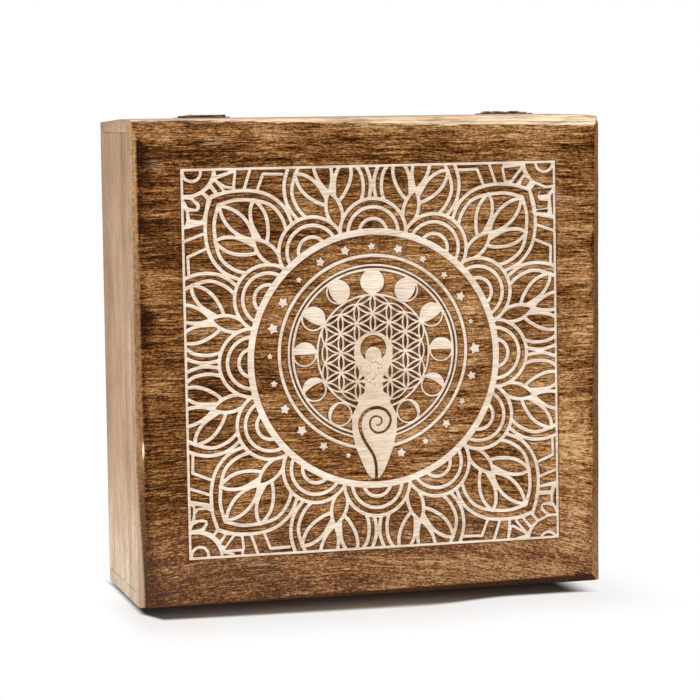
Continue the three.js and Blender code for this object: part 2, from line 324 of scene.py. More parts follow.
def chamfer_wear_and_painted_light(finish, x, z, wood):
    """how deep each place lies in a chamfer, and its colour: pale on top, rubbed wood with a painted
    highlight, spotted down the left, dark on the right, and painted dark underneath as painted shade"""
    across, up = x / WIDTH_X + 0.5, z / WIDTH_Z
    gaps = edge_gaps(x, z)
    deepest = color = None
    for side, gap in gaps.items():
        first, last = CHAMFER[side]
        share = up if side in ("left", "right") else across
        cut = share * (last - first) + first - gap
        shade = finish.ramp(share, *CHAMFER_TONES[side])
        color = shade if color is None else finish.mix((cut - deepest).step(-0.3, 0.3), color, shade)
        deepest = cut if deepest is None else deepest.most(cut)
    upper, right = z.step(238, 243), x.step(80, 110)
    patches = finish.noise(finish.places(), (1.0, 1.0, 2.6), 3.0, 0.7) - 0.5
    speck = wood["fibres"] * 1.2 + wood["streaks"] * (upper * 1.6 + 0.8 + right * 1.8)
    speck = speck + patches * ((1 - upper) * (2.4 + right * 2.0))
    speck = (speck + 0.5).step(0.15, 0.75, smooth=False)
    color = finish.mix((1 - speck) * 0.85, color, finish.mix(1.0, color, DARKENED, blend="MULTIPLY"))
    rubbed = (z.step(80, 0) * 2.5 - gaps["left"] + wood["streaks"]).step(-0.9, 0.5)
    return deepest, finish.tint(color, rubbed * 0.9, 184, 156, 131)


print("chamfers:", CHAMFER)


# %% The stained face of the lid
def stain(x, wood, low):
    """how light the stain is, 0 to 1, before any mark; low is 1 near the lower edge"""
    calm = x.step(-95, -118) * 0.5
    shade = wood["streaks"] * (1.25 - low * 0.3) + wood["fibres"] * (2.4 - calm)
    shade = shade + wood["grit"] * (1.1 + low * 0.7) + 0.5 + wood["bands"] * 0.65
    return shade + wood["clouds"] * 0.8 + x.step(-EDGE_X, EDGE_X, smooth=False) * 0.2 - 0.12


def stained_wood():
    finish = Finish("stained_wood")
    place = finish.places()
    x, y, z = finish.parts(place)
    arch = (x + 40) * (x + 40) * 0.0009
    wood = grain(finish, "X", finish.vector(x, y, z + z.step(110, 10) * arch), wave=0.7)
    low = z.step(55, 20)
    ragged = (finish.noise(place, (10, 10, 4), 3.0, 0.6) - 0.5) * 2.2
    cut, worn = chamfer_wear_and_painted_light(finish, x, z, wood)
    flame = finish.noise(place, (5, 8, 22), 3.0, 0.6).step(0.4, 0.6) * z.step(243, 236)
    shade = stain(x, wood, low) - cut.step(-5, -0.5) * x.absolute().step(106, 114) * flame * 0.26
    for mark in MARKS:
        shade = shade + spot(x, z, mark, ragged) * mark[4]
    color = finish.ramp(
        shade, (0.0, 34, 14, 0), (0.17, 68, 34, 5), (0.34, 101, 60, 22), (0.5, 131, 87, 45),
        (0.66, 157, 111, 66), (0.83, 184, 139, 92), (1.0, 212, 171, 122),
    )
    color = finish.tint(color, low * 0.2, 150, 108, 88)
    color = finish.tint(color, wood["pores"] * 0.6, 46, 24, 11)
    chalk = wood["fibres"].step(-0.04, 0.1)
    for scuff in SCUFFS:
        color = finish.tint(color, spot(x, z, scuff, ragged) * chalk * 0.6, 196, 172, 146)
    # Where the chamfer colours meet the face, with their painted highlight on top and painted shade
    # underneath
    ragged_edge = (wood["fibres"] + wood["streaks"]) * (0.9 + z.step(238, 244) * 2.6)
    ragged_edge = ragged_edge - z.step(240, 244) * x.step(40, -70) * 1.7
    color = finish.mix((cut + ragged_edge).step(-0.6, 0.6) * 0.94, color, worn)
    color = finish.tint(color, spot(x, z, NICK) * 0.7, 250, 240, 222)
    scorch = finish.node("Attribute", {"attribute_name": "scorch"}, out=2).power(1.4)
    color = finish.tint(color, scorch * 0.74, 48, 28, 14)
    rough = 0.56 + wood["fibres"] * 0.3 + scorch * 0.2
    height = wood["fibres"] * 0.6 - wood["pores"] * 0.8 + wood["streaks"] * 0.3
    return finish.done(finish.shader(color, rough, height, 0.06, Specular_IOR_Level=0.04))


def burnt_wall():
    finish = Finish("burnt_wall")
    char = finish.noise(finish.places(), (1.2, 0.6, 1.2))
    color = finish.ramp(char.step(0.3, 0.7), (0.0, 92, 60, 38), (1.0, 150, 112, 80))
    return finish.done(finish.shader(color, 0.75, char, 0.05, Specular_IOR_Level=0.25))


def carved_floor():
    finish = Finish("carved_floor")
    place = finish.places()
    x, _, z = finish.parts(place)
    wood = grain(finish, "X", place, seed=40, wave=0.5)
    color = finish.ramp(
        0.5 + wood["fibres"] * 2.4 + wood["streaks"] * 1.0 + wood["clouds"] * 0.8,
        (0.05, 198, 172, 146), (0.35, 224, 204, 182), (0.6, 240, 223, 204), (0.95, 252, 241, 227),
    )
    specks = finish.noise(place, (1.6, 1.6, 0.8), 1.0).step(0.72, 0.8) * 0.35
    grit = finish.noise(place, (1.1, 1.1, 0.8), 1.0).step(0.58, 0.66) * spot(x, z, FIGURE_CHEST) * 0.8
    color = finish.tint(color, spot(x, z, FIGURE_SKIRT) * 0.4, 202, 174, 144)
    color = finish.tint(color, specks.most(grit), 146, 116, 90)
    relief = wood["fibres"] - specks
    return finish.done(finish.shader(color, 0.82, relief, 0.12, Specular_IOR_Level=0.2))


STAINED, BURNT, CARVED = stained_wood(), burnt_wall(), carved_floor()
print("finishes of the lid:", STAINED.name, BURNT.name, CARVED.name)


# %% Washed and panel wood; the washed wood is made paler with painted light
def washed_wood_with_painted_light(name, along):
    finish = Finish(name)
    place = finish.places()
    z = finish.parts(place)[2]
    wood = grain(finish, along, place, seed=90, wave=0.8)
    shade = 0.4 + wood["bands"] * 0.75 + wood["streaks"] * 1.1 + wood["fibres"] * 1.2
    # Pale tones: whitewashed wood, made paler still with painted light
    color = finish.ramp(
        # Lighter towards the bottom: painted light from the floor's bounce
        shade + wood["clouds"] * 0.7 + z.step(90, 0) * 0.62,
        (0.1, 154, 124, 98), (0.3, 172, 141, 113), (0.5, 184, 154, 125), (0.7, 196, 167, 139),
        (0.85, 211, 185, 159), (1.0, 232, 211, 190),
    )
    wash = finish.noise(place, (5, 8, 60) if along == "Z" else (60, 8, 5))
    color = finish.tint(color, wash.step(0.52, 0.7) * 0.35, 186, 168, 154)
    color = finish.tint(color, wash.step(0.46, 0.3) * 0.35, 196, 152, 128)
    color = finish.tint(color, wood["pores"] * 0.35, 128, 98, 76)
    rough = 0.75 + wood["fibres"] * 0.2
    height = wood["fibres"] * 0.7 - wood["pores"] * 0.6
    return finish.done(finish.shader(color, rough, height, 0.05, Specular_IOR_Level=0.12))


def panel_wood():
    finish = Finish("panel_wood")
    wood = grain(finish, "X", seed=200, wave=0.9)
    color = finish.ramp(
        0.5 + wood["bands"] * 0.7 + wood["streaks"] * 0.7 + wood["fibres"] * 0.7,
        (0.2, 150, 112, 78), (0.5, 184, 146, 106), (0.8, 208, 174, 134),
    )
    return finish.done(finish.shader(color, 0.7, wood["fibres"], 0.04, Specular_IOR_Level=0.25))


WASHED_PAINTED_LIGHT_X = washed_wood_with_painted_light("washed_wood_painted_light_across", "X")
WASHED_PAINTED_LIGHT_Z = washed_wood_with_painted_light("washed_wood_painted_light_upright", "Z")
PANEL = panel_wood()
print("finishes of the boards:", WASHED_PAINTED_LIGHT_X.name, WASHED_PAINTED_LIGHT_Z.name, PANEL.name)

# %% [markdown]
# ## Old brass
#
# The hinges are small stamped brass butts that have gone dark. Touch keeps the knuckles brighter, and on
# the right hinge their tops are painted nearly white, worn brass with a painted highlight. The flat parts
# stay brown. Metal shows its colour in its reflections, so the dark patina is done with both a darker
# colour and a rougher surface.


# %% Aged brass
def aged_brass(name, dark, bright):
    finish = Finish(name)
    place = finish.places()
    x, _, z = finish.parts(place)
    blotch = finish.noise(place, (3.5, 3.5, 3.5), 3.0, 0.6)
    scratch = finish.noise(place, (0.25, 3.0, 1.0))
    patina = (blotch * 0.8 + scratch * 0.3).step(0.35, 0.8)
    color = finish.mix(patina, tone(*dark), tone(*bright))
    # Knuckle tops on the right hinge painted nearly white: worn brass with a painted highlight
    worn_and_painted_highlight = finish.noise(place, (4.5, 9, 9), 1.0).step(0.42, 0.52)
    color = finish.tint(color, z.step(249.7, 250.2) * x.step(0, 9) * worn_and_painted_highlight * 0.75, 224, 200, 184)
    return finish.done(finish.shader(color, 0.86 - patina * 0.12, scratch + blotch, 0.03, Metallic=0.75))


BRASS = aged_brass("aged_brass", (86, 64, 49), (138, 106, 78))
RUBBED_BRASS = aged_brass("aged_brass_rubbed", (122, 94, 68), (186, 152, 112))
print("metal:", BRASS.name, RUBBED_BRASS.name)

# %% [markdown]
# ## The engraved pattern as a distance field
#
# The pattern is a common mandala: twelve petals and twelve scallops round a ring, moon phases and stars
# inside it, and a woven lattice behind a small standing figure. Drawing every line as geometry by hand
# would leave thousands of crossings to clean up. Instead each line lowers a sheet of numbers, its
# distance field: every point of the sheet knows how far it is from the nearest cut. Where the number is
# below zero the wood is cut away. Joining two shapes is then just the smaller of two numbers, and cutting
# one out of another is the larger. Sizes here are millimetres from the middle of the engraved square.

# %% A sheet of distances, and pens that draw on it
STEP = 0.2
HALF = 100.0
MARGIN = 1.6
SIZE = int(round(2 * (HALF + MARGIN) / STEP)) + 1
AXIS = np.linspace(-HALF - MARGIN, HALF + MARGIN, SIZE)
FAR = 3.0


def blank():
    return np.full((SIZE, SIZE), FAR, np.float32)


def window(points, reach):
    """the part of the sheet within reach of the points, and its coordinates"""
    low = np.floor((np.min(points, 0) - reach - AXIS[0]) / STEP).astype(int).clip(0, SIZE)
    high = np.ceil((np.max(points, 0) + reach - AXIS[0]) / STEP).astype(int).clip(0, SIZE) + 1
    across, up = slice(low[0], high[0]), slice(low[1], high[1])
    return (up, across), AXIS[across][None, :], AXIS[up][:, None]


def stroke(field, points, width, reach=MARGIN):
    """draws a line of this width, one number or one for each point"""
    points = np.asarray(points, float)
    half = np.broadcast_to(np.asarray(width, float) / 2, (len(points),))
    for a, b, half_a, half_b in zip(points[:-1], points[1:], half[:-1], half[1:]):
        part, x, y = window([a, b], reach + max(half_a, half_b))
        along = b - a
        t = ((x - a[0]) * along[0] + (y - a[1]) * along[1]) / max(along @ along, 1e-12)
        t = t.clip(0, 1)
        gap = np.hypot(x - a[0] - t * along[0], y - a[1] - t * along[1])
        field[part] = np.minimum(field[part], gap - half_a - (half_b - half_a) * t)
    return field


def region(points):
    """distance to a closed outline, below zero inside it"""
    points = np.asarray(points, float)
    loop = np.vstack([points, points[:1]])
    field = stroke(blank(), loop, 0.0, FAR)
    part, x, y = window(points, FAR)
    inside = np.zeros(field[part].shape, bool)
    for (ax, ay), (bx, by) in zip(loop[:-1], loop[1:]):
        if ay != by:
            crosses = (ay > y) != (by > y)
            inside ^= crosses & (x < ax + (y - ay) * (bx - ax) / (by - ay))
    field[part] = np.where(inside, -field[part], field[part])
    return field


def disc(centre, radius):
    return (np.hypot(AXIS[None, :] - centre[0], AXIS[:, None] - centre[1]) - radius).astype(np.float32)


def ring(centre, radius, width):
    return np.abs(disc(centre, radius)) - width / 2


print("sheet of", SIZE, "by", SIZE, "points,", STEP, "mm apart")


# %% Curves for the pens
def arc(centre, radius, start, end):
    """points on an arc, in degrees clockwise from the top"""
    count = max(3, int(abs(math.radians(end - start)) * radius / 0.6) + 2)
    angle = np.radians(np.linspace(start, end, count))
    return np.stack([centre[0] + radius * np.sin(angle), centre[1] + radius * np.cos(angle)], 1)


def curve(points, per_span=10):
    """a smooth line through the points"""
    p = np.asarray(points, float)
    p = np.vstack([2 * p[0] - p[1], p, 2 * p[-1] - p[-2]])
    t = np.linspace(0, 1, per_span, endpoint=False)[:, None]
    spans = []
    for a, b, c, d in zip(p[:-3], p[1:-2], p[2:-1], p[3:]):
        bend = (2 * a - 5 * b + 4 * c - d) * t**2 + (3 * b - a - 3 * c + d) * t**3
        spans.append(b + 0.5 * ((c - a) * t + bend))
    return np.vstack([*spans, p[-2:-1]])


def bow(start, end, rise):
    """an arc from start to end that bulges to its left by rise at the middle"""
    start, end = np.asarray(start, float), np.asarray(end, float)
    along = (end - start) / 2
    half = np.hypot(*along)
    left = np.array([-along[1], along[0]]) / half
    radius = (half**2 + rise**2) / (2 * rise)
    middle = start + along + left * (rise - radius)
    first, last = (math.atan2(*(point - middle)[::-1]) for point in (start, end))
    swing = (last - first + math.pi) % (2 * math.pi) - math.pi
    angle = first + swing * np.linspace(0, 1, max(4, int(abs(swing * radius) / 0.7) + 2))
    return middle + abs(radius) * np.stack([np.cos(angle), np.sin(angle)], 1)


def mirrored(points):
    return np.asarray(points, float) * (-1, 1)


def turned(points, degrees, centre=(0, 0)):
    """turned clockwise round the middle, then moved to centre"""
    a = math.radians(degrees)
    x, y = np.asarray(points, float).T
    return np.stack([x * math.cos(a) + y * math.sin(a), y * math.cos(a) - x * math.sin(a)], 1) + centre


print("a quarter circle of 10 mm has", len(arc((0, 0), 10, 0, 90)), "points")

# %% [markdown]
# ### Petals and scallops
#
# One petal is drawn pointing up and repeated twelve times, 30 degrees apart. The scallops lie between
# the petals and cover their feet, so the petals are cut back by each scallop's disc before they join.

# %% Draw the outer mandala
PETAL_CENTRE = (0.5, 0.0)
BAND_CENTRE, BAND_RADIUS, BAND_WIDTH = (0.3, -0.36), 65.9, 3.4
SCALLOP_PLACE, SCALLOP_RADII = 64.9, (17.7, 13.4, 7.4)
LINE = 1.85
BAR = 1.55


def petal():
    right = [
        curve([(0, 120.4), (8, 116.1), (16.5, 108.2), (21.5, 100), (23, 92), (22.1, 86), (19, 79)]),
        curve([(0, 114.9), (8.2, 110), (15.2, 102), (18.5, 96), (19, 91), (17.7, 85), (15, 80)]),
        bow((0, 89.4), (0, 114.2), -4.4),
        bow((0, 68.6), (0, 89.6), -4.0),
        curve([(14.6, 103.4), (10.6, 101.8), (6.6, 98), (4.4, 94), (3.2, 90), (2.2, 86.5)]),
        curve([(14.9, 102.6), (14.6, 98), (13.5, 94), (11.1, 90), (7.3, 86), (4.4, 83.9)]),
    ]
    return right + [mirrored(line) for line in right]


def mandala():
    petals, scallops = blank(), blank()
    for k in range(12):
        for line in petal():
            stroke(petals, turned(line, 15 + 30 * k, PETAL_CENTRE), LINE)
    for k in range(12):
        centre = turned([(0, SCALLOP_PLACE)], 30 * k, PETAL_CENTRE)[0]
        petals = np.maximum(petals, -disc(centre, SCALLOP_RADII[0]))
        for radius in SCALLOP_RADII:
            stroke(scallops, arc(centre, radius, 30 * k - 100, 30 * k + 100), LINE)
    field = np.maximum(np.minimum(petals, scallops), -disc(BAND_CENTRE, BAND_RADIUS))
    return np.minimum(field, ring(BAND_CENTRE, BAND_RADIUS, BAND_WIDTH))


MANDALA = mandala()
print("pale share of the mandala: %.3f" % (MANDALA < 0).mean())

# %% [markdown]
# ### Corners
#
# Each corner holds a quarter circle, a small half circle and a fan of little cells with a leaf. The carver
# drew the four corners a little differently, so each has its own cells. A cell stays brown, and a pale
# line is cut round it. Places are sevenths of a millimetre, counted inwards from the corner.

# %% Draw the four corners
CORNER_GRID = 7.0
CORNER_CELLS = {
    (-1, 1): [
        [(88.7, 84.8), (105, 74), (116.7, 88.7), (101.9, 95.3)],
        [(115, 56), (123, 51), (148, 82), (136, 85)],
        [(133, 41), (190.6, 21.4), (184, 64), (164, 61)],
        [(130, 11.5), (171, 11.5), (131, 23)],
        [(13, 110), (33, 112), (54, 133), (51, 141), (26, 135)],
        [(47.6, 105), (75.6, 95), (90, 112), (85, 138), (75.6, 177), (65.7, 182), (33, 177), (31, 154),
         (62, 154), (70.6, 141), (69, 121.6)],
        [(9, 145), (15, 154), (16, 184), (11, 199)],
    ],
    (1, 1): [
        [(195, 26), (135, 21), (171, 64), (187, 67)],
        [(128, 36), (123, 44), (153, 80), (164, 79)],
        [(117, 61), (100, 72), (115, 92), (131, 85)],
        [(61, 123), (49, 105), (15, 102), (33, 122)],
        [(80, 184), (31, 179), (33, 189)],
        [(47.6, 100), (75.6, 88), (91, 106), (87, 138), (79, 172), (66, 175), (33, 170), (31, 150),
         (60, 148), (70.6, 136), (66, 115)],
        [(16, 131), (10, 122), (10, 197)],
    ],
    (-1, -1): [
        [(98.6, 82), (108.4, 93.7), (126.5, 85.4), (113.4, 69)],
        [(141, 80.5), (156, 79), (131.4, 46), (120, 51)],
        [(171, 75.6), (189, 72.3), (194, 33), (134.7, 31.2)],
        [(126.5, 14.8), (157.7, 6.6), (129.8, 3.3)],
        [(13, 110), (19.7, 125), (39.4, 133), (59, 131.4), (49, 116.7), (33, 111.7)],
        [(28, 164), (39, 176), (66, 177), (80.5, 169), (87, 144.6), (98.6, 106.8), (90, 93.7),
         (60.8, 103.5), (74, 125), (70.7, 141), (52.6, 148), (28, 146)],
        [(9, 194), (16, 187), (15, 164), (10, 143)],
    ],
    (1, -1): [
        [(129.8, 82), (110, 90.4), (92, 69), (106.8, 56)],
        [(159.4, 75.6), (144.6, 79), (116.7, 41), (123, 33)],
        [(180.7, 47.7), (134.7, 21.4), (190.6, 6.6)],
        [(60.8, 123), (39.4, 123), (21.4, 115), (13, 93.7), (33, 95.3), (49.3, 105)],
        [(80.5, 161), (36, 162.7), (33, 139.7), (59, 136.4), (72.3, 128), (74, 108.4), (52.6, 88.7),
         (79, 77.2), (93.7, 95.3), (82, 131.4)],
        [(75.6, 189), (29.6, 194), (33, 182.4), (72, 182)],
        [(18, 164), (11.5, 187), (9.9, 121.6), (19.7, 138)],
    ],
}
QUARTER_CIRCLE = {(-1, 1): (22, -1), (1, 1): (22, -1), (-1, -1): (22, -1), (1, -1): (22, -11)}
HALF_CIRCLE = {(-1, 1): (40, 13, 33), (1, 1): (42, 7, 33), (-1, -1): (40, 14, 31), (1, -1): (41, -5, 30)}
WIDE_BAR = [(10, 207), (72, 194)]
CORNER_BARS = [
    [(8, 257), (77, 233)],
    [(83, 287), (20, 313), (22, 377)],
    [(197, 8), (192, 73)],
    [(253, 8), (230, 77)],
    [(278, 80), (300, 25), (370, 27)],
]


def corners():
    field, cells = blank(), blank()
    for side, shapes in CORNER_CELLS.items():

        def place(points):
            x, y = np.asarray(points, float).T / CORNER_GRID
            return np.stack([(HALF - x) * side[0], (HALF - y) * side[1]], 1)

        for shape in shapes:
            cell = region(place(shape))
            field = np.minimum(field, cell - 1.7)
            cells = np.minimum(cells, cell - 0.3)
        stroke(field, place(arc(QUARTER_CIRCLE[side], 100, -20, 100)), LINE)
        x, y, radius = HALF_CIRCLE[side]
        stroke(field, place(arc((x, y), radius, -105, 105)), BAR)
        stroke(field, place(WIDE_BAR), 2.2)
        for bar in CORNER_BARS:
            stroke(field, place(bar), BAR)
    return np.maximum(field, -cells)


CORNERS = corners()
print("pale share of the corners: %.3f" % (CORNERS < 0).mean())

# %% [markdown]
# ### Sky, lattice and figure
#
# Inside the ring come three thin circles, stars that differ in size and turn, and eleven moons that wane
# to both sides. The lattice is the old six-petalled flower grid: bows of equal radius between the points
# of a triangular net. The figure stands on top of it and a spiral is left standing in its skirt.

# %% Draw the sky
SKY_CENTRE = (-0.43, 3.14)
SKY_RINGS = ((50.1, 1.7), (45.1, 1.05), (42.9, 1.25))
STAR_PLACE, MOON_PLACE = 55, 36.6
MOON_RADIUS, MOON_RIM = 6.4, 0.9
# Size and turn of each star, 15 degrees apart; the figure's foot takes the place of one
STARS = [
    (2.1, 62), (2.6, 58), (2.0, 32), (2.0, 34), (2.6, 18), (1.5, 0), (3.1, 57), (2.4, 57),
    (1.8, 34), (2.4, 34), (1.9, 2), (2.5, 6), None, (1.5, 20), (2.4, 40), (2.8, 35),
    (2.6, 9), (1.9, 3), (1.6, 0), (2.9, 56), (2.7, 42), (1.7, 15), (2.4, 8), (2.6, 6),
]


def star(radius, turn_by):
    reach = radius * np.where(np.arange(10) % 2 == 0, 1.08, 0.62)
    angle = np.radians(36 * np.arange(10) + turn_by)
    return np.stack([reach * np.sin(angle), reach * np.cos(angle)], 1)


def moon(place, step):
    """a moon that has waned by step out of six, drawn upright, then turned with its place"""
    phase = min(step, 12 - step)
    side = 1 if step < 6 else -1
    angle = np.radians(np.arange(0, 360, 5))
    edge = np.where(np.cos(angle) < 0, -1.0, 1 - phase / 3)
    across = side * MOON_RADIUS * np.abs(np.cos(angle)) * edge
    lit = turned(np.stack([across, MOON_RADIUS * np.sin(angle)], 1), 30 * step, place)
    rim = ring(place, MOON_RADIUS - MOON_RIM / 2, MOON_RIM)
    return np.minimum(rim, region(lit) if phase else disc(place, MOON_RADIUS))


def sky():
    shapes = [ring(SKY_CENTRE, *size) for size in SKY_RINGS]
    for k, size in enumerate(STARS):
        if size:
            place = turned([(0, STAR_PLACE)], 15 * k, SKY_CENTRE)[0] - (0, 0.27)
            shapes.append(region(star(*size) + place))
    for step in range(12):
        if step != 6:
            shapes.append(moon(turned([(0, MOON_PLACE)], 30 * step, SKY_CENTRE)[0], step))
    return np.minimum.reduce(shapes)


SKY = sky()
print("pale share of the sky: %.3f" % (SKY < 0).mean())

# %% Draw the lattice and the figure
LATTICE_PITCH = 10.0
LATTICE_LINE = 0.85


def lattice():
    points = []
    for i in range(-3, 4):
        for j in range(-6, 7):
            point = LATTICE_PITCH * np.array([i * math.sqrt(3) / 2, j / 2])
            if (i + j) % 2 == 0 and np.hypot(*point) < 3.01 * LATTICE_PITCH:
                points.append(point)
    field = blank()
    rise = LATTICE_PITCH * (1 - math.sqrt(3) / 2)
    for p in points:
        for q in points:
            if abs(np.hypot(*(q - p)) - LATTICE_PITCH) < 0.01:
                stroke(field, bow(SKY_CENTRE + p, SKY_CENTRE + q, rise), LATTICE_LINE)
    return np.minimum(field, ring(SKY_CENTRE, 29.86, 1.1))


BODY_SIDE = [
    (10.3, 4), (9.7, -1), (8.1, -5.7), (5.7, -8.6), (4.7, -11.4), (4.9, -14.7), (5.1, -17.6), (5.7, -19.6),
    (8.4, -22.9), (9.9, -25.7), (11.9, -30), (12.1, -34.7), (11.7, -39.6), (10.3, -45.7), (7.6, -52.9),
    (4.3, -60), (1.9, -62.9),
]
SPIRAL = [
    (0.7, -34.9), (1.6, -35.3), (2.7, -34.7), (3.5, -33.2), (3.1, -31.5), (1.6, -30.6), (0, -30.4),
    (-1.6, -31.1), (-2.6, -32.4), (-2.9, -34.2), (-2.5, -36.3), (-1.1, -38.1), (0.7, -39.1), (2.7, -39.1),
    (5, -38.3), (6.7, -36.7), (7.9, -34.5), (8.3, -32.2), (7.6, -30), (5.8, -27.7), (3.6, -26.5),
    (0.9, -25.9), (-1.8, -26.3), (-4.5, -27.5), (-6.7, -29.5), (-8, -32.2), (-8.3, -34.9), (-8, -37.6),
    (-7, -40.7), (-5.2, -44.3), (-2.9, -47.9), (-1.1, -51.1), (-0.2, -54.7), (0.1, -57.8), (0.1, -60.9),
    (0, -63.2),
]
# Width of the spiral's line at some of its points
SPIRAL_WIDTH = {0: 0.55, 3: 0.85, 17: 1.3, 21: 1.75, 26: 1.85, 31: 1.55, 35: 1.6}


def figure():
    """the standing figure, and what is left standing inside it"""
    middle = SKY_CENTRE[0]
    right = curve(BODY_SIDE, 4)
    body = region(np.vstack([right, mirrored(right)[::-1]]) + (middle, 0))
    body = np.minimum(body, disc((middle, 3.6), 10.0))
    gap = np.maximum(disc((middle, 5.0), 6.96), -disc((middle, 1.43), 4.43))
    gap = np.maximum(gap, (-1.7 - AXIS)[:, None])
    line = curve(SPIRAL, 3)
    at = np.linspace(0, len(SPIRAL) - 1, len(line))
    width = np.interp(at, list(SPIRAL_WIDTH), list(SPIRAL_WIDTH.values()))
    return body, np.minimum(gap, stroke(blank(), line, width))


def engraving():
    body, left_standing = figure()
    inner = np.maximum(np.minimum.reduce([SKY, lattice(), body]), -left_standing)
    field = np.minimum.reduce([MANDALA, CORNERS, inner])
    edge = HALF - np.maximum(np.abs(AXIS)[None, :], np.abs(AXIS)[:, None])
    return np.minimum(np.maximum(field, -edge), np.abs(edge - 0.65) - 0.65)


FIELD = engraving()
print("pale share of the square: %.3f" % (FIELD < 0).mean())

# %% [markdown]
# ## From numbers to edges
#
# Marching squares finds where the field has a given value: each grid square whose corners lie on both
# sides gets a short piece of line, and the pieces link up into closed loops. Most of the points on a
# gentle curve say nothing new, so a loop is then thinned until no dropped point was more than a hair from
# the line that is left.


# %% Loops of equal value
def crossing_links(value):
    """for each grid edge that the line crosses, the two edges where it goes on"""
    rows, columns = value.shape
    inside = value < 0
    a, b, c, d = inside[:-1, :-1], inside[:-1, 1:], inside[1:, 1:], inside[1:, :-1]
    links = {}
    for r, col in np.argwhere(~((a == b) & (b == c) & (c == d))):
        here = r * columns + col
        corner = (a[r, col], b[r, col], c[r, col], d[r, col])
        sides = (here, rows * columns + here + 1, here + columns, rows * columns + here)
        cut = [sides[k] for k in range(4) if corner[k] != corner[(k + 1) % 4]]
        pairs = [(0, 1)]
        if len(cut) == 4:
            middle = value[r : r + 2, col : col + 2].mean() < 0
            pairs = [(0, 3), (1, 2)] if middle != corner[0] else [(0, 1), (2, 3)]
        for i, j in pairs:
            links.setdefault(cut[i], []).append(cut[j])
            links.setdefault(cut[j], []).append(cut[i])
    return links


def loops_at(field, level):
    """closed lines along which the field has this value, as arrays of points"""
    value = field.astype(float) - level
    rows, columns = value.shape

    def crossing(key):
        """the point where the line crosses one grid edge"""
        upright, place = divmod(key, rows * columns)
        r, c = divmod(place, columns)
        other = value[r + 1, c] if upright else value[r, c + 1]
        t = value[r, c] / (value[r, c] - other)
        return (AXIS[c], AXIS[r] + t * STEP) if upright else (AXIS[c] + t * STEP, AXIS[r])

    links = crossing_links(value)
    loops = []
    while links:
        start, near = next(iter(links.items()))
        loop, last, now = [start], start, near[0]
        while now != start:
            loop.append(now)
            near = links.pop(now)
            last, now = now, near[0] if near[1] == last else near[1]
        links.pop(start)
        loops.append(np.array([crossing(key) for key in loop]))
    return loops


def thinned(loop, hair):
    """the loop without the points that lie within a hair of the line through the others"""
    far = int(np.argmax(np.hypot(*(loop - loop[0]).T)))
    closed = np.vstack([loop, loop[:1]])
    keep = {0, far}
    spans = [(0, far), (far, len(loop))]
    while spans:
        first, last = spans.pop()
        if last - first < 2:
            continue
        along = closed[last] - closed[first]
        off = closed[first + 1 : last] - closed[first]
        gap = np.abs(along[0] * off[:, 1] - along[1] * off[:, 0]) / max(np.hypot(*along), 1e-9)
        worst = int(np.argmax(gap))
        if gap[worst] > hair:
            middle = first + 1 + worst
            keep.add(middle)
            spans += [(first, middle), (middle, last)]
    return closed[sorted(keep)]


def area(loop):
    x, y = loop.T
    return abs(np.sum(x * np.roll(y, -1) - y * np.roll(x, -1))) / 2


HAIR = 0.025
SMALLEST = 0.9
RIM, WALL_TOP, WALL_FOOT = 0.8, 0.14, -0.02
EDGE_LOOPS = []
for level in (RIM, WALL_TOP, WALL_FOOT):
    found = [thinned(loop, HAIR) for loop in loops_at(FIELD, level) if area(loop) > SMALLEST]
    EDGE_LOOPS += [loop for loop in found if len(loop) > 2]
    print("level %5.2f:" % level, len(found), "loops,", sum(map(len, found)), "points")

# %% [markdown]
# ## The engraved lid board
#
# The board is built in one piece. Seen from the front it is a flat map: loops of the pattern, and eight
# rows that run round its edge to shape the hand-cut chamfer. A constrained triangulation fills the map
# without crossing any of those lines, and every point is then pushed back by the depth it needs: the
# chamfer near the edge, the cut inside the pattern. Sides and back close the board.

# %% Chamfer widths and depths
# Each row's inset in millimetres, and the share of the chamfer's width that is added to it
ROWS = [(0, 0), (0.04, 0.03), (0.1, 0.1), (0.2, 0.2), (0.3, 0.6), (0.35, 0.85), (0.45, 1.0), (1.0, 1.05)]
ROW_SPACING = 5.0
SANDED = 0.5
CUT_DEPTH = 0.6
CARVING_PLACE = (0.36, -0.35 + WIDTH_Z / 2)
CARVING_TURN = math.radians(0.28)
CARVING_SCALE = 0.9985


def chamfer_width(side, share):
    first, last = CHAMFER[side]
    shake = 0.10 * np.sin(share * 23 + first * 5) + 0.07 * np.sin(share * 61 + last)
    return first + (last - first) * share + shake * min(first, 1.5)


def chamfer_depth(x, z):
    """how far the surface lies behind the face at this place, without the pattern"""
    x_share, z_share = (x - LOW[0]) / WIDTH_X, (z - LOW[2]) / WIDTH_Z
    depth = np.zeros_like(x)
    gaps = edge_gaps(x, z)
    for side, gap in gaps.items():
        cut = chamfer_width(side, z_share if side in ("left", "right") else x_share) - gap
        blend = (0.5 - np.abs(depth - cut)).clip(0) / 0.5
        depth = np.maximum(depth, cut) + blend**2 * 0.125
    border = np.minimum.reduce(list(gaps.values())).clip(0, SANDED)
    return depth + SANDED - np.sqrt(SANDED**2 - (SANDED - border) ** 2)


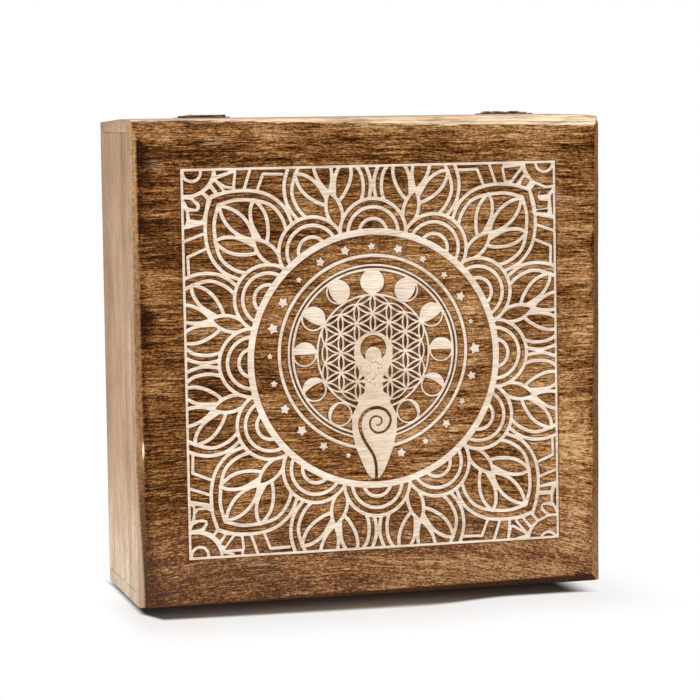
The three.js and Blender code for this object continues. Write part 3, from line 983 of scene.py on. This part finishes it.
def row_round(base, share):
    """one closed row round the board, a little further in where the chamfer is wider"""
    clip = max(0.35 - 1.2 * base - 1.2 * share * 2, 0.0)
    across, up = (np.linspace(0, 1, int(width / ROW_SPACING)) for width in (WIDTH_X, WIDTH_Z))
    left, right = (base + share * chamfer_width(side, up) for side in ("left", "right"))
    bottom, top = (base + share * chamfer_width(side, across) for side in ("bottom", "top"))

    def run(shares, low, high):
        return low + clip + (high - low - 2 * clip) * shares

    x0, x1, z0, z1 = LOW[0], HIGH[0], LOW[2], HIGH[2]
    sides = [
        np.stack([run(across, x0 + left[0], x1 - right[0]), z0 + bottom], 1),
        np.stack([x1 - right, run(up, z0 + bottom[-1], z1 - top[-1])], 1),
        np.stack([run(across, x0 + left[-1], x1 - right[-1]), z1 - top], 1)[::-1],
        np.stack([x0 + left, run(up, z0 + bottom[0], z1 - top[0])], 1)[::-1],
    ]
    return np.vstack(sides if clip else [side[:-1] for side in sides])


def to_board(points):
    """from the pattern's own square to the face of the board"""
    x, y = np.asarray(points).T * CARVING_SCALE
    c, s = math.cos(CARVING_TURN), math.sin(CARVING_TURN)
    return np.stack([x * c - y * s + CARVING_PLACE[0], x * s + y * c + CARVING_PLACE[1]], 1)


def to_pattern(points):
    x, y = (np.asarray(points) - CARVING_PLACE).T / CARVING_SCALE
    c, s = math.cos(CARVING_TURN), math.sin(CARVING_TURN)
    return np.stack([x * c + y * s, y * c - x * s], 1)


def field_at(points):
    """the field between its grid points, and far outside it"""
    u = (to_pattern(points) - AXIS[0]) / STEP
    outside = ((u < 0) | (u > SIZE - 1.001)).any(1)
    u = u.clip(0, SIZE - 1.001)
    c, r = u.astype(int).T
    tx, ty = (u - u.astype(int)).T
    low = FIELD[r, c] * (1 - tx) + FIELD[r, c + 1] * tx
    high = FIELD[r + 1, c] * (1 - tx) + FIELD[r + 1, c + 1] * tx
    return np.where(outside, FAR, low * (1 - ty) + high * ty)


print("chamfer on the left: %.1f to %.1f mm" % tuple(chamfer_width("left", np.array([0, 1]))))


# %% Triangulate the face
def flat_map(loops, mode, hair):
    """a triangulation that keeps all loops: its points, its faces and where the first loop's points are"""
    points, edges = [], []
    for loop in loops:
        first, count = len(points), len(loop)
        points += [Vector(p) for p in loop]
        edges += [(first + k, first + (k + 1) % count) for k in range(count)]
    made, _, faces, origin, _, _ = delaunay_2d_cdt(points, edges, [], mode, hair)
    place_of = {old: new for new, olds in enumerate(origin) for old in olds}
    return made, faces, [place_of[k] for k in range(len(loops[0]))]


FACE_LOOPS = [row_round(*row) for row in ROWS] + [to_board(loop) for loop in EDGE_LOOPS]
POINTS, TRIANGLES, BORDER = flat_map(FACE_LOOPS, 0, 1e-5)
PLAN, TRIANGLES = np.array([tuple(p) for p in POINTS]), np.array(TRIANGLES)
print("face:", len(PLAN), "points,", len(TRIANGLES), "triangles")


# %% Pieces from points, and edges that stay sharp
def new_piece(name, vertices, faces, materials, indices=None):
    mesh = bpy.data.meshes.new(name)
    mesh.from_pydata(vertices, [], faces)
    for material in materials:
        mesh.materials.append(material)
    if indices is not None:
        mesh.polygons.foreach_set("material_index", indices)
    mesh.update()
    return placed(name, mesh)


def opened(mesh):
    """a mesh as a bmesh, ready to be worked on"""
    shape = bmesh.new()
    shape.from_mesh(mesh)
    return shape


def closed_up(shape, mesh):
    """a bmesh written to a mesh and let go"""
    shape.to_mesh(mesh)
    shape.free()
    return mesh


def smooth_by_angle(made, degrees):
    """smooth shading, with an edge kept sharp where its faces meet at more than this"""
    shape = opened(made.data)
    for face in shape.faces:
        face.smooth = True
    for edge in shape.edges:
        edge.smooth = len(edge.link_faces) == 2 and edge.calc_face_angle(0) < math.radians(degrees)
    closed_up(shape, made.data)
    return made


# %% Give the face its depth and close the board
# Where each row of points behind the border lies, and how far it is drawn in
BACK_ROWS = ((HIGH[1] - 0.4, 0.0), (HIGH[1] - 0.12, 0.1), (HIGH[1], 0.35))


def board_sides(vertices):
    """adds the rows of points behind the border, and returns the faces of the sides and the back"""
    rings = [list(BORDER)]
    for y, inset in BACK_ROWS:
        first = len(vertices)
        for k in BORDER:
            place = []
            for value, axis in zip(PLAN[k], (0, 2)):
                off = value - (LOW[axis] + HIGH[axis]) / 2
                place.append(value - math.copysign(min(inset, abs(off)), off))
            vertices.append((place[0] * MM, y * MM, place[1] * MM))
        rings.append(list(range(first, first + len(BORDER))))
    sides = []
    for near, far in zip(rings[:-1], rings[1:]):
        for k in range(len(near)):
            n = (k + 1) % len(near)
            sides.append((near[k], far[k], far[n], near[n]))
    return sides + [tuple(rings[-1][::-1])]


def lid_board():
    value = field_at(PLAN)
    cut = ((WALL_TOP - value) / (WALL_TOP - WALL_FOOT)).clip(0, 1)
    cut[cut > 0.9] = 1.0
    cut[cut < 0.1] = 0.0
    depth = chamfer_depth(PLAN[:, 0], PLAN[:, 1]) + cut * CUT_DEPTH
    level = cut[TRIANGLES]
    slot = np.where(level.max(1) != level.min(1), 1, np.where(level.max(1) > 0.5, 2, 0))
    slot = np.where((slot == 0) & (field_at(PLAN[TRIANGLES].mean(1)) < WALL_TOP), 2, slot)
    vertices = [tuple(p) for p in np.stack([PLAN[:, 0], LOW[1] + depth, PLAN[:, 1]], 1) * MM]
    faces = [tuple(t) for t in TRIANGLES]
    sides = board_sides(vertices)
    indices = [int(s) for s in slot] + [3] * len(sides)
    finishes = [STAINED, BURNT, CARVED, WASHED_PAINTED_LIGHT_X]
    made = new_piece("lid_board_engraved", vertices, faces + sides, finishes, indices)
    scorch = ((RIM - value) / (RIM - WALL_TOP)).clip(0, 1)
    scorch = np.append(scorch, np.zeros(len(vertices) - len(PLAN)))
    made.data.attributes.new("scorch", "FLOAT", "POINT").data.foreach_set("value", scorch)
    layer = made.data.uv_layers.new(name="OFBake")
    spots = np.array([v.co for v in made.data.vertices])[[loop.vertex_index for loop in made.data.loops]]
    flat = np.stack([(spots[:, 0] / MM - LOW[0]) / WIDTH_X, (spots[:, 2] / MM - LOW[2]) / WIDTH_Z], 1)
    layer.data.foreach_set("uv", (0.01 + 0.98 * flat).ravel())
    return smooth_by_angle(made, 28)


LID_BOARD = lid_board()
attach(LID_BOARD, "lid")
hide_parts("lid_top_board")
print("lid board:", len(LID_BOARD.data.vertices), "points,", len(LID_BOARD.data.polygons), "faces")

# %% [markdown]
# ## Boards, rails and the bottom
#
# The other boards have the right shape already but edges as sharp as knives. A copy of each solid is
# cleaned into flat faces, and its edges are rounded as sandpaper would leave them.

# %% Wear on the top of the box
TOP_LINES = {"x": (-118, -108, -98, 98, 108, 118), "y": (-25,)}
WORN_RIGHT, WORN_FRONT, WORN_CORNER = 0.9, 0.8, 1.5


def portion(value, start, end):
    """0 at start and 1 at end, and no less or more beyond them"""
    return min(max((value - start) / (end - start), 0), 1)


def worn_down(made, owner):
    """lowers the top where it has been sanded: the lid towards its front, the lid's right end, and the
    tray's left corner"""
    for vertex in made.data.vertices:
        x, y, z = vertex.co / MM
        drop = WORN_RIGHT * portion(x, EDGE_X - 28, EDGE_X) ** 1.5
        if owner == "lid":
            drop += WORN_FRONT * portion(y, -25, FACE_Y)
        else:
            drop += WORN_CORNER * (portion(y, SEAM_Y, BOTTOM_Y) * portion(x, -98, -EDGE_X))
        vertex.co.z -= drop * portion(z, TOP_Z - 6, TOP_Z) * MM


worn_down(LID_BOARD, "lid")
print("worn by up to", WORN_RIGHT + WORN_FRONT, "mm on the lid")


# %% Soften the boards
def sanded_copy(node):
    """a copy of a node's solid with its edges rounded"""
    shape = opened(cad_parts[node].data)
    bmesh.ops.remove_doubles(shape, verts=shape.verts, dist=0.02 * MM)
    bmesh.ops.dissolve_limit(shape, angle_limit=math.radians(2), verts=shape.verts, edges=shape.edges)
    sharp = [e for e in shape.edges if e.calc_face_angle(0) > math.radians(60)]
    long = [e for e in sharp if e.calc_length() > 3 * MM]
    bmesh.ops.bevel(shape, geom=long, offset=SANDED * MM, segments=2, profile=0.5, affect="EDGES")
    lines = [(axis, line) for axis, places in TOP_LINES.items() for line in places if "back" in node]
    for axis, line in lines:
        normal = Vector([float(axis == letter) for letter in "xyz"])
        everything = shape.verts[:] + shape.edges[:] + shape.faces[:]
        bmesh.ops.bisect_plane(shape, geom=everything, plane_co=normal * line * MM, plane_no=normal)
    return closed_up(shape, bpy.data.meshes.new(node))


BOARDS = {
    "base_front_wall": WASHED_PAINTED_LIGHT_X, "base_back_wall": WASHED_PAINTED_LIGHT_X,
    "base_left_wall": WASHED_PAINTED_LIGHT_Z, "base_right_wall": WASHED_PAINTED_LIGHT_Z,
    "base_bottom_board": PANEL,
    "lid_front_rail": WASHED_PAINTED_LIGHT_X, "lid_back_rail": WASHED_PAINTED_LIGHT_X,
    "lid_left_rail": WASHED_PAINTED_LIGHT_Z, "lid_right_rail": WASHED_PAINTED_LIGHT_Z,
}
for node, material in BOARDS.items():
    mesh = sanded_copy(node)
    mesh.materials.clear()
    mesh.materials.append(material)
    body = node.split("_")[0]
    board = placed(node.replace("_wall", "_board").replace("_rail", "_strip") + "_sanded", mesh)
    if "back" in node:
        worn_down(board, body)
    smooth_by_angle(board, 40)
    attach(board, body)
    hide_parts(node)
print("boards:", len(BOARDS))

# %% [markdown]
# ## Trees that repeat a shape
#
# Screws and knuckles repeat: the same small shape at even steps. Copying meshes by hand works, but a
# Geometry Nodes tree keeps the rule itself, with its sizes as named inputs. Here a small class writes
# such a tree. Its own geometry is the shape, and it sets that shape on points, turns each copy a little
# where a seed is given, makes everything real and gives it its metal. The result is stored as a plain
# mesh, because copies that exist only in the tree would be lost when the model is exported.


# %% A class for trees and a way to store what they make
class Plan(Tree):
    """a Geometry Nodes tree with named inputs"""

    def __init__(self, name, **sizes):
        self.sizes = sizes
        self.graph = bpy.data.node_groups.new(name, "GeometryNodeTree")
        for way in ("OUTPUT", "INPUT"):
            self.graph.interface.new_socket("Geometry", in_out=way, socket_type="NodeSocketGeometry")
        for key, value in sizes.items():
            kind = "NodeSocketInt" if isinstance(value, int) else "NodeSocketFloat"
            self.graph.interface.new_socket(key, in_out="INPUT", socket_type=kind)
        self.inputs = self.graph.nodes.new("NodeGroupInput")

    def __getitem__(self, name):
        return Wire(self, self.inputs.outputs[name])

    def line(self, count, step, first=0.0):
        """points along X, step apart"""
        place, offset = (self.node("CombineXYZ", sockets={0: x}) for x in (first, step))
        sockets = {"Count": count, "Start Location": place, "Offset": offset}
        return self.node("GeometryNodeMeshLine", {"mode": "OFFSET"}, sockets)

    def copies(self, points, shape, **sockets):
        sockets = {"Points": points, "Instance": shape, **sockets}
        made = self.node("GeometryNodeInstanceOnPoints", sockets=sockets)
        return self.node("GeometryNodeRealizeInstances", sockets={0: made})

    def end(self, geometry, material):
        sockets = {"Geometry": geometry, "Material": material}
        self.node("NodeGroupOutput", sockets={0: self.node("GeometryNodeSetMaterial", sockets=sockets)})
        return self


def carried_out(name, shape, plan):
    """a piece with the plain mesh that a plan makes from a shape"""
    piece = placed(name, shape)
    modifier = piece.modifiers.new(plan.graph.name, "NODES")
    modifier.node_group = plan.graph
    for item in plan.graph.interface.items_tree:
        if item.in_out == "INPUT" and item.name in plan.sizes:
            modifier[item.identifier] = plan.sizes[item.name]
    bpy.context.view_layer.update()
    mesh = bpy.data.meshes.new_from_object(piece.evaluated_get(bpy.context.evaluated_depsgraph_get()))
    piece.modifiers.clear()
    piece.data = mesh
    mesh.name = name
    return piece


def moved(made, *shift):
    """shifts a piece's mesh by millimetres, so that its object stays at the origin"""
    made.data.transform(Matrix.Translation(Vector(shift) * MM))


def pushed(shape, faces, *shift):
    """extrudes faces of a bmesh by millimetres and returns the points that moved"""
    grown = bmesh.ops.extrude_face_region(shape, geom=faces)["geom"]
    points = [v for v in grown if isinstance(v, bmesh.types.BMVert)]
    bmesh.ops.translate(shape, verts=points, vec=[part * MM for part in shift])
    return points


# %% [markdown]
# ## Hinge leaves
#
# A butt hinge is two stamped leaves whose ends are curled round a pin. Each leaf here is a thin plate
# with countersunk holes and its own curled knuckles, three on the tray and two on the lid. The knuckle
# is drawn as a strip that lies under the pin and rolls round it. The outer end of each hinge is dressed
# down flat, as the low slope at the end of its outline shows.

# %% Sizes of the hinges
HINGE_X = {"left": -82.0, "right": 82.0}
LEAF_WIDTH, LEAF_REACH, LEAF_SEAT, LEAF_THICK = 26.0, 10.5, 0.05, 0.5
BARREL_LENGTH, BARREL_RADIUS, BARREL_GAP = 25.4, 0.8, 0.3
STRIP_THICK = 0.36
PIN_RADIUS = 0.38
DRESSED_LENGTH, DRESSED_SHARE = 4.2, 0.62
SCREW_SPACING, SCREW_REACH = 15.0, 6.6
HOLES_X = (-SCREW_SPACING / 2, SCREW_SPACING / 2)
HEAD_RADIUS, HEAD_DOME, HEAD_CONE, SHANK_RADIUS, SCREW_LENGTH = 2.1, 0.2, 1.0, 1.0, 5.8
HOLE_RADIUS = HEAD_RADIUS + 0.2
SLOT_HALF, SLOT_DEPTH = 0.24, 0.32
PITCH = BARREL_LENGTH / 5
print("a knuckle is %.2f mm long" % (PITCH - BARREL_GAP))


# %% Plate, knuckle and leaf
def circle(x, y, radius, count=28):
    angle = np.linspace(0, 2 * math.pi, count, endpoint=False)
    return np.stack([x + radius * np.cos(angle), y + radius * np.sin(angle)], 1)


def plate_mesh(side):
    """the flat part of a leaf, its two holes countersunk"""
    wide = LEAF_WIDTH / 2
    half = [(BARREL_LENGTH / 2, BARREL_RADIUS + 0.25), (wide, 3.4)]
    half += [(wide, LEAF_REACH - 1.2), (wide - 1.2, LEAF_REACH)]
    outline = np.array(half + [(-x, y) for x, y in half[::-1]]) * (1, side)
    holes = [circle(x, side * SCREW_REACH, HOLE_RADIUS) for x in HOLES_X]
    made, faces, _ = flat_map([outline, *holes], 1, 1e-6)
    shape = bmesh.new()
    verts = [shape.verts.new((p.x * MM, p.y * MM, (LEAF_SEAT + LEAF_THICK) * MM)) for p in made]
    for face in faces:
        x, y = np.mean([made[k] for k in face], 0)
        if math.hypot(abs(x) - SCREW_SPACING / 2, y - side * SCREW_REACH) > HEAD_RADIUS:
            shape.faces.new([verts[k] for k in face])
    bmesh.ops.dissolve_limit(shape, angle_limit=0.01, verts=shape.verts, edges=shape.edges)
    for v in pushed(shape, list(shape.faces), 0, 0, -LEAF_THICK):
        for hole in HOLES_X:
            off = (v.co - Vector((hole, side * SCREW_REACH, 0)) * MM) * Vector((1, 1, 0))
            if off.length < (HEAD_RADIUS + 0.4) * MM:
                v.co -= off * (0.5 / HOLE_RADIUS)
    bmesh.ops.recalc_face_normals(shape, faces=shape.faces)
    rims = [e for e in shape.edges if e.calc_face_angle(0) > math.radians(40)]
    rims = [e for e in rims if all(v.co.z > 0.3 * MM for v in e.verts)]
    bmesh.ops.bevel(shape, geom=rims, offset=0.1 * MM, segments=2, profile=0.5, affect="EDGES")
    return closed_up(shape, bpy.data.meshes.new("plate"))


def knuckle_mesh(side):
    """a strip that lies under the pin and rolls once round it"""
    middle = LEAF_SEAT + BARREL_RADIUS
    angles = np.radians(np.linspace(-90, -385, 30))

    def roll(radius, turns):
        return [(-side * radius * math.cos(a + math.pi), middle + radius * math.sin(a)) for a in turns]

    tail = side * (BARREL_RADIUS + 0.5)
    rolled = roll(BARREL_RADIUS, angles) + roll(BARREL_RADIUS - STRIP_THICK, angles[::-1])
    profile = [(tail, LEAF_SEAT), *rolled, (tail, LEAF_SEAT + STRIP_THICK)]
    half = (PITCH - BARREL_GAP) / 2
    shape = bmesh.new()
    first = shape.faces.new([shape.verts.new((-half * MM, y * MM, z * MM)) for y, z in profile])
    pushed(shape, [first], 2 * half, 0, 0)
    bmesh.ops.recalc_face_normals(shape, faces=shape.faces)
    ends = [e for e in shape.edges if abs(e.verts[0].co.x - e.verts[1].co.x) < 1e-7]
    bmesh.ops.bevel(shape, geom=ends, offset=0.06 * MM, segments=1, profile=0.5, affect="EDGES")
    return closed_up(shape, bpy.data.meshes.new("knuckle"))


def knuckle_plan(count):
    first = -(count - 1) * PITCH * MM
    plan = Plan("knuckles along the pin", Count=count, Step=2 * PITCH * MM, First=first)
    points = plan.line(plan["Count"], plan["Step"], plan["First"])
    return plan.end(plan.copies(points, plan["Geometry"]), BRASS)


def dressed_down(made, outer):
    """flattens the last millimetres of the outer knuckle; outer is -1 or 1 along X"""
    for vertex in made.data.vertices:
        x, _, z = vertex.co / MM
        low = portion(outer * x, BARREL_LENGTH / 2 - DRESSED_LENGTH, BARREL_LENGTH / 2)
        vertex.co.z = (LEAF_SEAT + (z - LEAF_SEAT) * (1 - DRESSED_SHARE * low)) * MM


def with_plate(leaf, side):
    """adds the flat part to a leaf's knuckles and gives both one brass"""
    shape = opened(leaf.data)
    shape.from_mesh(plate_mesh(side))
    for face in shape.faces:
        face.material_index = 0
    closed_up(shape, leaf.data)
    leaf.data.materials.clear()
    leaf.data.materials.append(BRASS)


LEAVES = []
for place, hinge_x in HINGE_X.items():
    for body, side, count in (("base", 1, 3), ("lid", -1, 2)):
        leaf = carried_out(f"hinge_{place}_{body}_leaf_curled", knuckle_mesh(side), knuckle_plan(count))
        with_plate(leaf, side)
        if body == "base":
            dressed_down(leaf, -1 if place == "left" else 1)
        moved(leaf, hinge_x, SEAM_Y, TOP_Z)
        smooth_by_angle(leaf, 40)
        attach(leaf, body)
        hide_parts(f"hinge_{place}_{body}_leaf")
        LEAVES.append(leaf)
print("leaves:", {leaf.name: len(leaf.data.polygons) for leaf in LEAVES})

# %% [markdown]
# ## Screws and pins
#
# Small countersunk wood screws with a straight slot. The head is turned from a short outline, and the
# slot is a strip of its crown pushed down. Nobody lines up the slots by hand, so the tree turns each
# screw by a random angle with a fixed seed. The two hinges' screws on one body make one mesh.


# %% Turn the screw and set it out
def lathe(profile, count):
    """a turned shape round Z from (radius, height) pairs, closed at both ends"""
    shape = bmesh.new()
    rings = []
    for radius, height in profile:
        loop = circle(0, 0, radius * MM, count) if radius else [(0, 0)]
        rings.append([shape.verts.new((x, y, height * MM)) for x, y in loop])
    for low, high in zip(rings[:-1], rings[1:]):
        for k in range(count):
            n = (k + 1) % count
            around = [low[k % len(low)], low[n % len(low)], high[n % len(high)], high[k % len(high)]]
            shape.faces.new(list(dict.fromkeys(around)))
    bmesh.ops.recalc_face_normals(shape, faces=shape.faces)
    return shape


def screw_mesh():
    shape = lathe([
        (0, -SCREW_LENGTH), (SHANK_RADIUS, 1.6 - SCREW_LENGTH), (SHANK_RADIUS, -HEAD_CONE),
        (HEAD_RADIUS - 0.06, -0.05), (HEAD_RADIUS, 0.0), (HEAD_RADIUS - 0.1, 0.06),
        (HEAD_RADIUS * 0.6, HEAD_DOME * 0.75), (0, HEAD_DOME),
    ], 24)
    for y in (-SLOT_HALF, SLOT_HALF):
        crown = [f for f in shape.faces if f.calc_center_median().z > -0.03 * MM]
        geometry = list({v for f in crown for v in f.verts}) + list({e for f in crown for e in f.edges})
        plane = {"plane_co": (0, y * MM, 0), "plane_no": (0, 1, 0), "dist": 1e-7}
        bmesh.ops.bisect_plane(shape, geom=geometry + crown, **plane)
    middles = {f: f.calc_center_median() for f in shape.faces}
    strip = [f for f, middle in middles.items() if middle.z > 0.0 and abs(middle.y) < SLOT_HALF * MM]
    points = pushed(shape, strip, 0, 0, 0)
    bmesh.ops.delete(shape, geom=strip, context="FACES_ONLY")
    for v in points:
        v.co.z = -SLOT_DEPTH * MM
    return closed_up(shape, bpy.data.meshes.new("screw"))


def screw_plan(seed):
    between = (HINGE_X["right"] - HINGE_X["left"]) * MM
    sizes = {"Between hinges": between, "Between screws": SCREW_SPACING * MM, "Seed": seed}
    plan = Plan("screws on the leaves", **sizes)
    hinges = plan.line(2, plan["Between hinges"])
    points = plan.copies(hinges, plan.line(2, plan["Between screws"]))
    sockets = {2: 0.0, 3: math.pi, "Seed": plan["Seed"]}
    any_turn = plan.node("FunctionNodeRandomValue", {"data_type": "FLOAT"}, sockets, out=1)
    about_z = plan.node("CombineXYZ", sockets={2: any_turn})
    return plan.end(plan.copies(points, plan["Geometry"], Rotation=about_z), RUBBED_BRASS)


for body, side, seed in (("base", 1, 4), ("lid", -1, 11)):
    screws = carried_out(f"hinge_screws_{body}", screw_mesh(), screw_plan(seed))
    first_x = HINGE_X["left"] + HOLES_X[0]
    moved(screws, first_x, SEAM_Y + side * SCREW_REACH, TOP_Z + LEAF_SEAT + LEAF_THICK)
    smooth_by_angle(screws, 30)
    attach(screws, body)
    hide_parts(*[f"hinge_{place}_{body}_screw_{k}" for place in HINGE_X for k in (1, 2)])
    print(screws.name, len(screws.data.polygons), "faces")


# %% Turn the pins
def pin_mesh():
    half = BARREL_LENGTH / 2
    dome = [(0, 0), (0.24, 0.02), (0.34, 0.1), (PIN_RADIUS, 0.22)]
    lower = [(radius, height - half) for radius, height in dome]
    upper = [(radius, half - height) for radius, height in dome[::-1]]
    shape = lathe(lower + upper, 20)
    across = Matrix.Rotation(math.pi / 2, 3, "Y")
    bmesh.ops.rotate(shape, verts=shape.verts, cent=(0, 0, 0), matrix=across)
    return closed_up(shape, bpy.data.meshes.new("pin"))


for place, hinge_x in HINGE_X.items():
    pin = placed(f"hinge_{place}_pin_domed", pin_mesh())
    pin.data.materials.append(BRASS)
    moved(pin, hinge_x, SEAM_Y, TOP_Z + LEAF_SEAT + BARREL_RADIUS)
    smooth_by_angle(pin, 40)
    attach(pin, "base")
    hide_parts(f"hinge_{place}_pin")
print("pins:", len(HINGE_X))

# %% [markdown]
# ## Floor, backdrop and light
#
# The box stands on a white sweep. A strong small light hangs almost straight above it, a little behind,
# and draws the short dark shadow in front of the box. Big soft lights fill from the left and the front.
# A white floor under lamps this weak would look grey, so for the camera the floor glows white away from
# the box. Near the box its tone is painted darker towards the box's foot, a painted shadow over the real
# one, with a dim painted halo round it; where the white glow begins sets the outline of the shadow.

# %% Lay the floor
FLOOR_SIZE = 6.0
FLOOR_TONE = (0.93, 0.925, 0.92, 1.0)
# Painted shadow: the floor's tone at the box's foot and at the shadow's edge, as the camera sees it
PAINTED_SHADOW_FOOT = (0.125, 0.118, 0.114, 1.0)
PAINTED_SHADOW_EDGE = (0.98, 0.96, 0.94, 1.0)
# How far the painted shadow reaches ahead of the lid at the box's left, near its middle and at its right
REACH_LEFT, REACH_MIDDLE, REACH_RIGHT = 30, 38, 23


def floor_with_painted_shadow():
    """painted shadow near the box, darkest at its foot, in a dim painted halo; farther off the floor glows
    """
    finish = Finish("white_floor_painted_shadow")
    x, y, _ = finish.parts(finish.places())
    ahead, beside_left, beside_right = FACE_Y - y, -EDGE_X - x, x - EDGE_X
    short = x.step(5, 68)
    reach = x.step(-130, 5, smooth=False) * (REACH_MIDDLE - REACH_LEFT) + REACH_LEFT
    past = ahead - (reach - short * (REACH_MIDDLE - REACH_RIGHT))
    left = (beside_left + (ahead - 14).most(0) * 0.4).step(-1, 4)
    # Where the white glow begins: it covers the real shadows beside the box and sets the painted shadow's
    # outline
    away = left.most(x.step(97, 115)).most(past.step(-2, 6)).most(y.step(20, 50))
    seen = finish.seen()
    # Painted shadow: the floor's tone darkens towards the box's foot, and more towards the right
    painted_shadow_fade = (ahead / 37).most(0).least(1).power(2.0) * (1 - short * 0.4)
    color = finish.mix(seen, FLOOR_TONE, finish.mix(painted_shadow_fade, PAINTED_SHADOW_FOOT, PAINTED_SHADOW_EDGE))
    matt = finish.shader(color, 1.0, Specular_IOR_Level=0.0)
    white = finish.node("Emission", sockets={"Strength": 1.0})
    # A dim glow near the shadow, a painted grey halo, turning to full white farther off
    dim = finish.node("Emission", sockets={"Color": (1.0, 0.97, 0.94, 1.0), "Strength": 0.88})
    painted_grey_halo = past.step(75, 0) * ahead.step(-50, 0) * beside_left.step(20, 0) * beside_right.step(30, -30)
    glow = finish.node("MixShader", sockets={0: painted_grey_halo, 1: white, 2: dim})
    return finish.done(finish.node("MixShader", sockets={0: away * seen, 1: matt, 2: glow}))


corner = FLOOR_SIZE / 2
ground = [(x * corner, y * corner, 0) for x, y in ((-1, -1), (1, -1), (1, 1), (-1, 1))]
floor = new_piece("floor", ground, [(0, 1, 2, 3)], [floor_with_painted_shadow()])
print("floor:", FLOOR_SIZE, "m wide")

# %% Hang the lights
ROOM_LEVEL = 0.05
CENTRE = Vector((0.0, 0.0, 0.12))
# Place and size in metres, and how brightly the lamp lights a white card that faces it at the box
LAMPS = {
    "top_light": ((0.2, 0.25, 2.2), 0.1, 0.98),
    "left_softbox": ((-2.1, -0.4, 0.12), 0.24, 0.445),
    "front_softbox": ((-0.75, -2.3, 0.11), 0.22, 0.68),
}


def studio_room():
    """dim light from all round, seen as white"""
    room = Finish("studio_room", "worlds")
    levels = [{"Color": (1, 1, 1, 1), "Strength": level} for level in (ROOM_LEVEL, 1.0)]
    dim, white = (room.node("Background", sockets=level) for level in levels)
    shader = room.node("MixShader", sockets={0: room.seen(), 1: dim, 2: white})
    return room.done(shader, "OutputWorld")


def lamp(name, place, size, level):
    """a square soft light that faces the box"""
    data = bpy.data.lights.new(name, "AREA")
    data.shape = "SQUARE"
    data.size = size
    away = Vector(place) - CENTRE
    data.energy = level * math.pi**2 * away.length**2
    made = placed(name, data)
    made.matrix_world = Matrix.Translation(place) @ away.to_track_quat("Z", "Y").to_matrix().to_4x4()


bpy.context.scene.world = studio_room()
for name, settings in LAMPS.items():
    lamp(name, *settings)
print("lamps:", list(LAMPS))
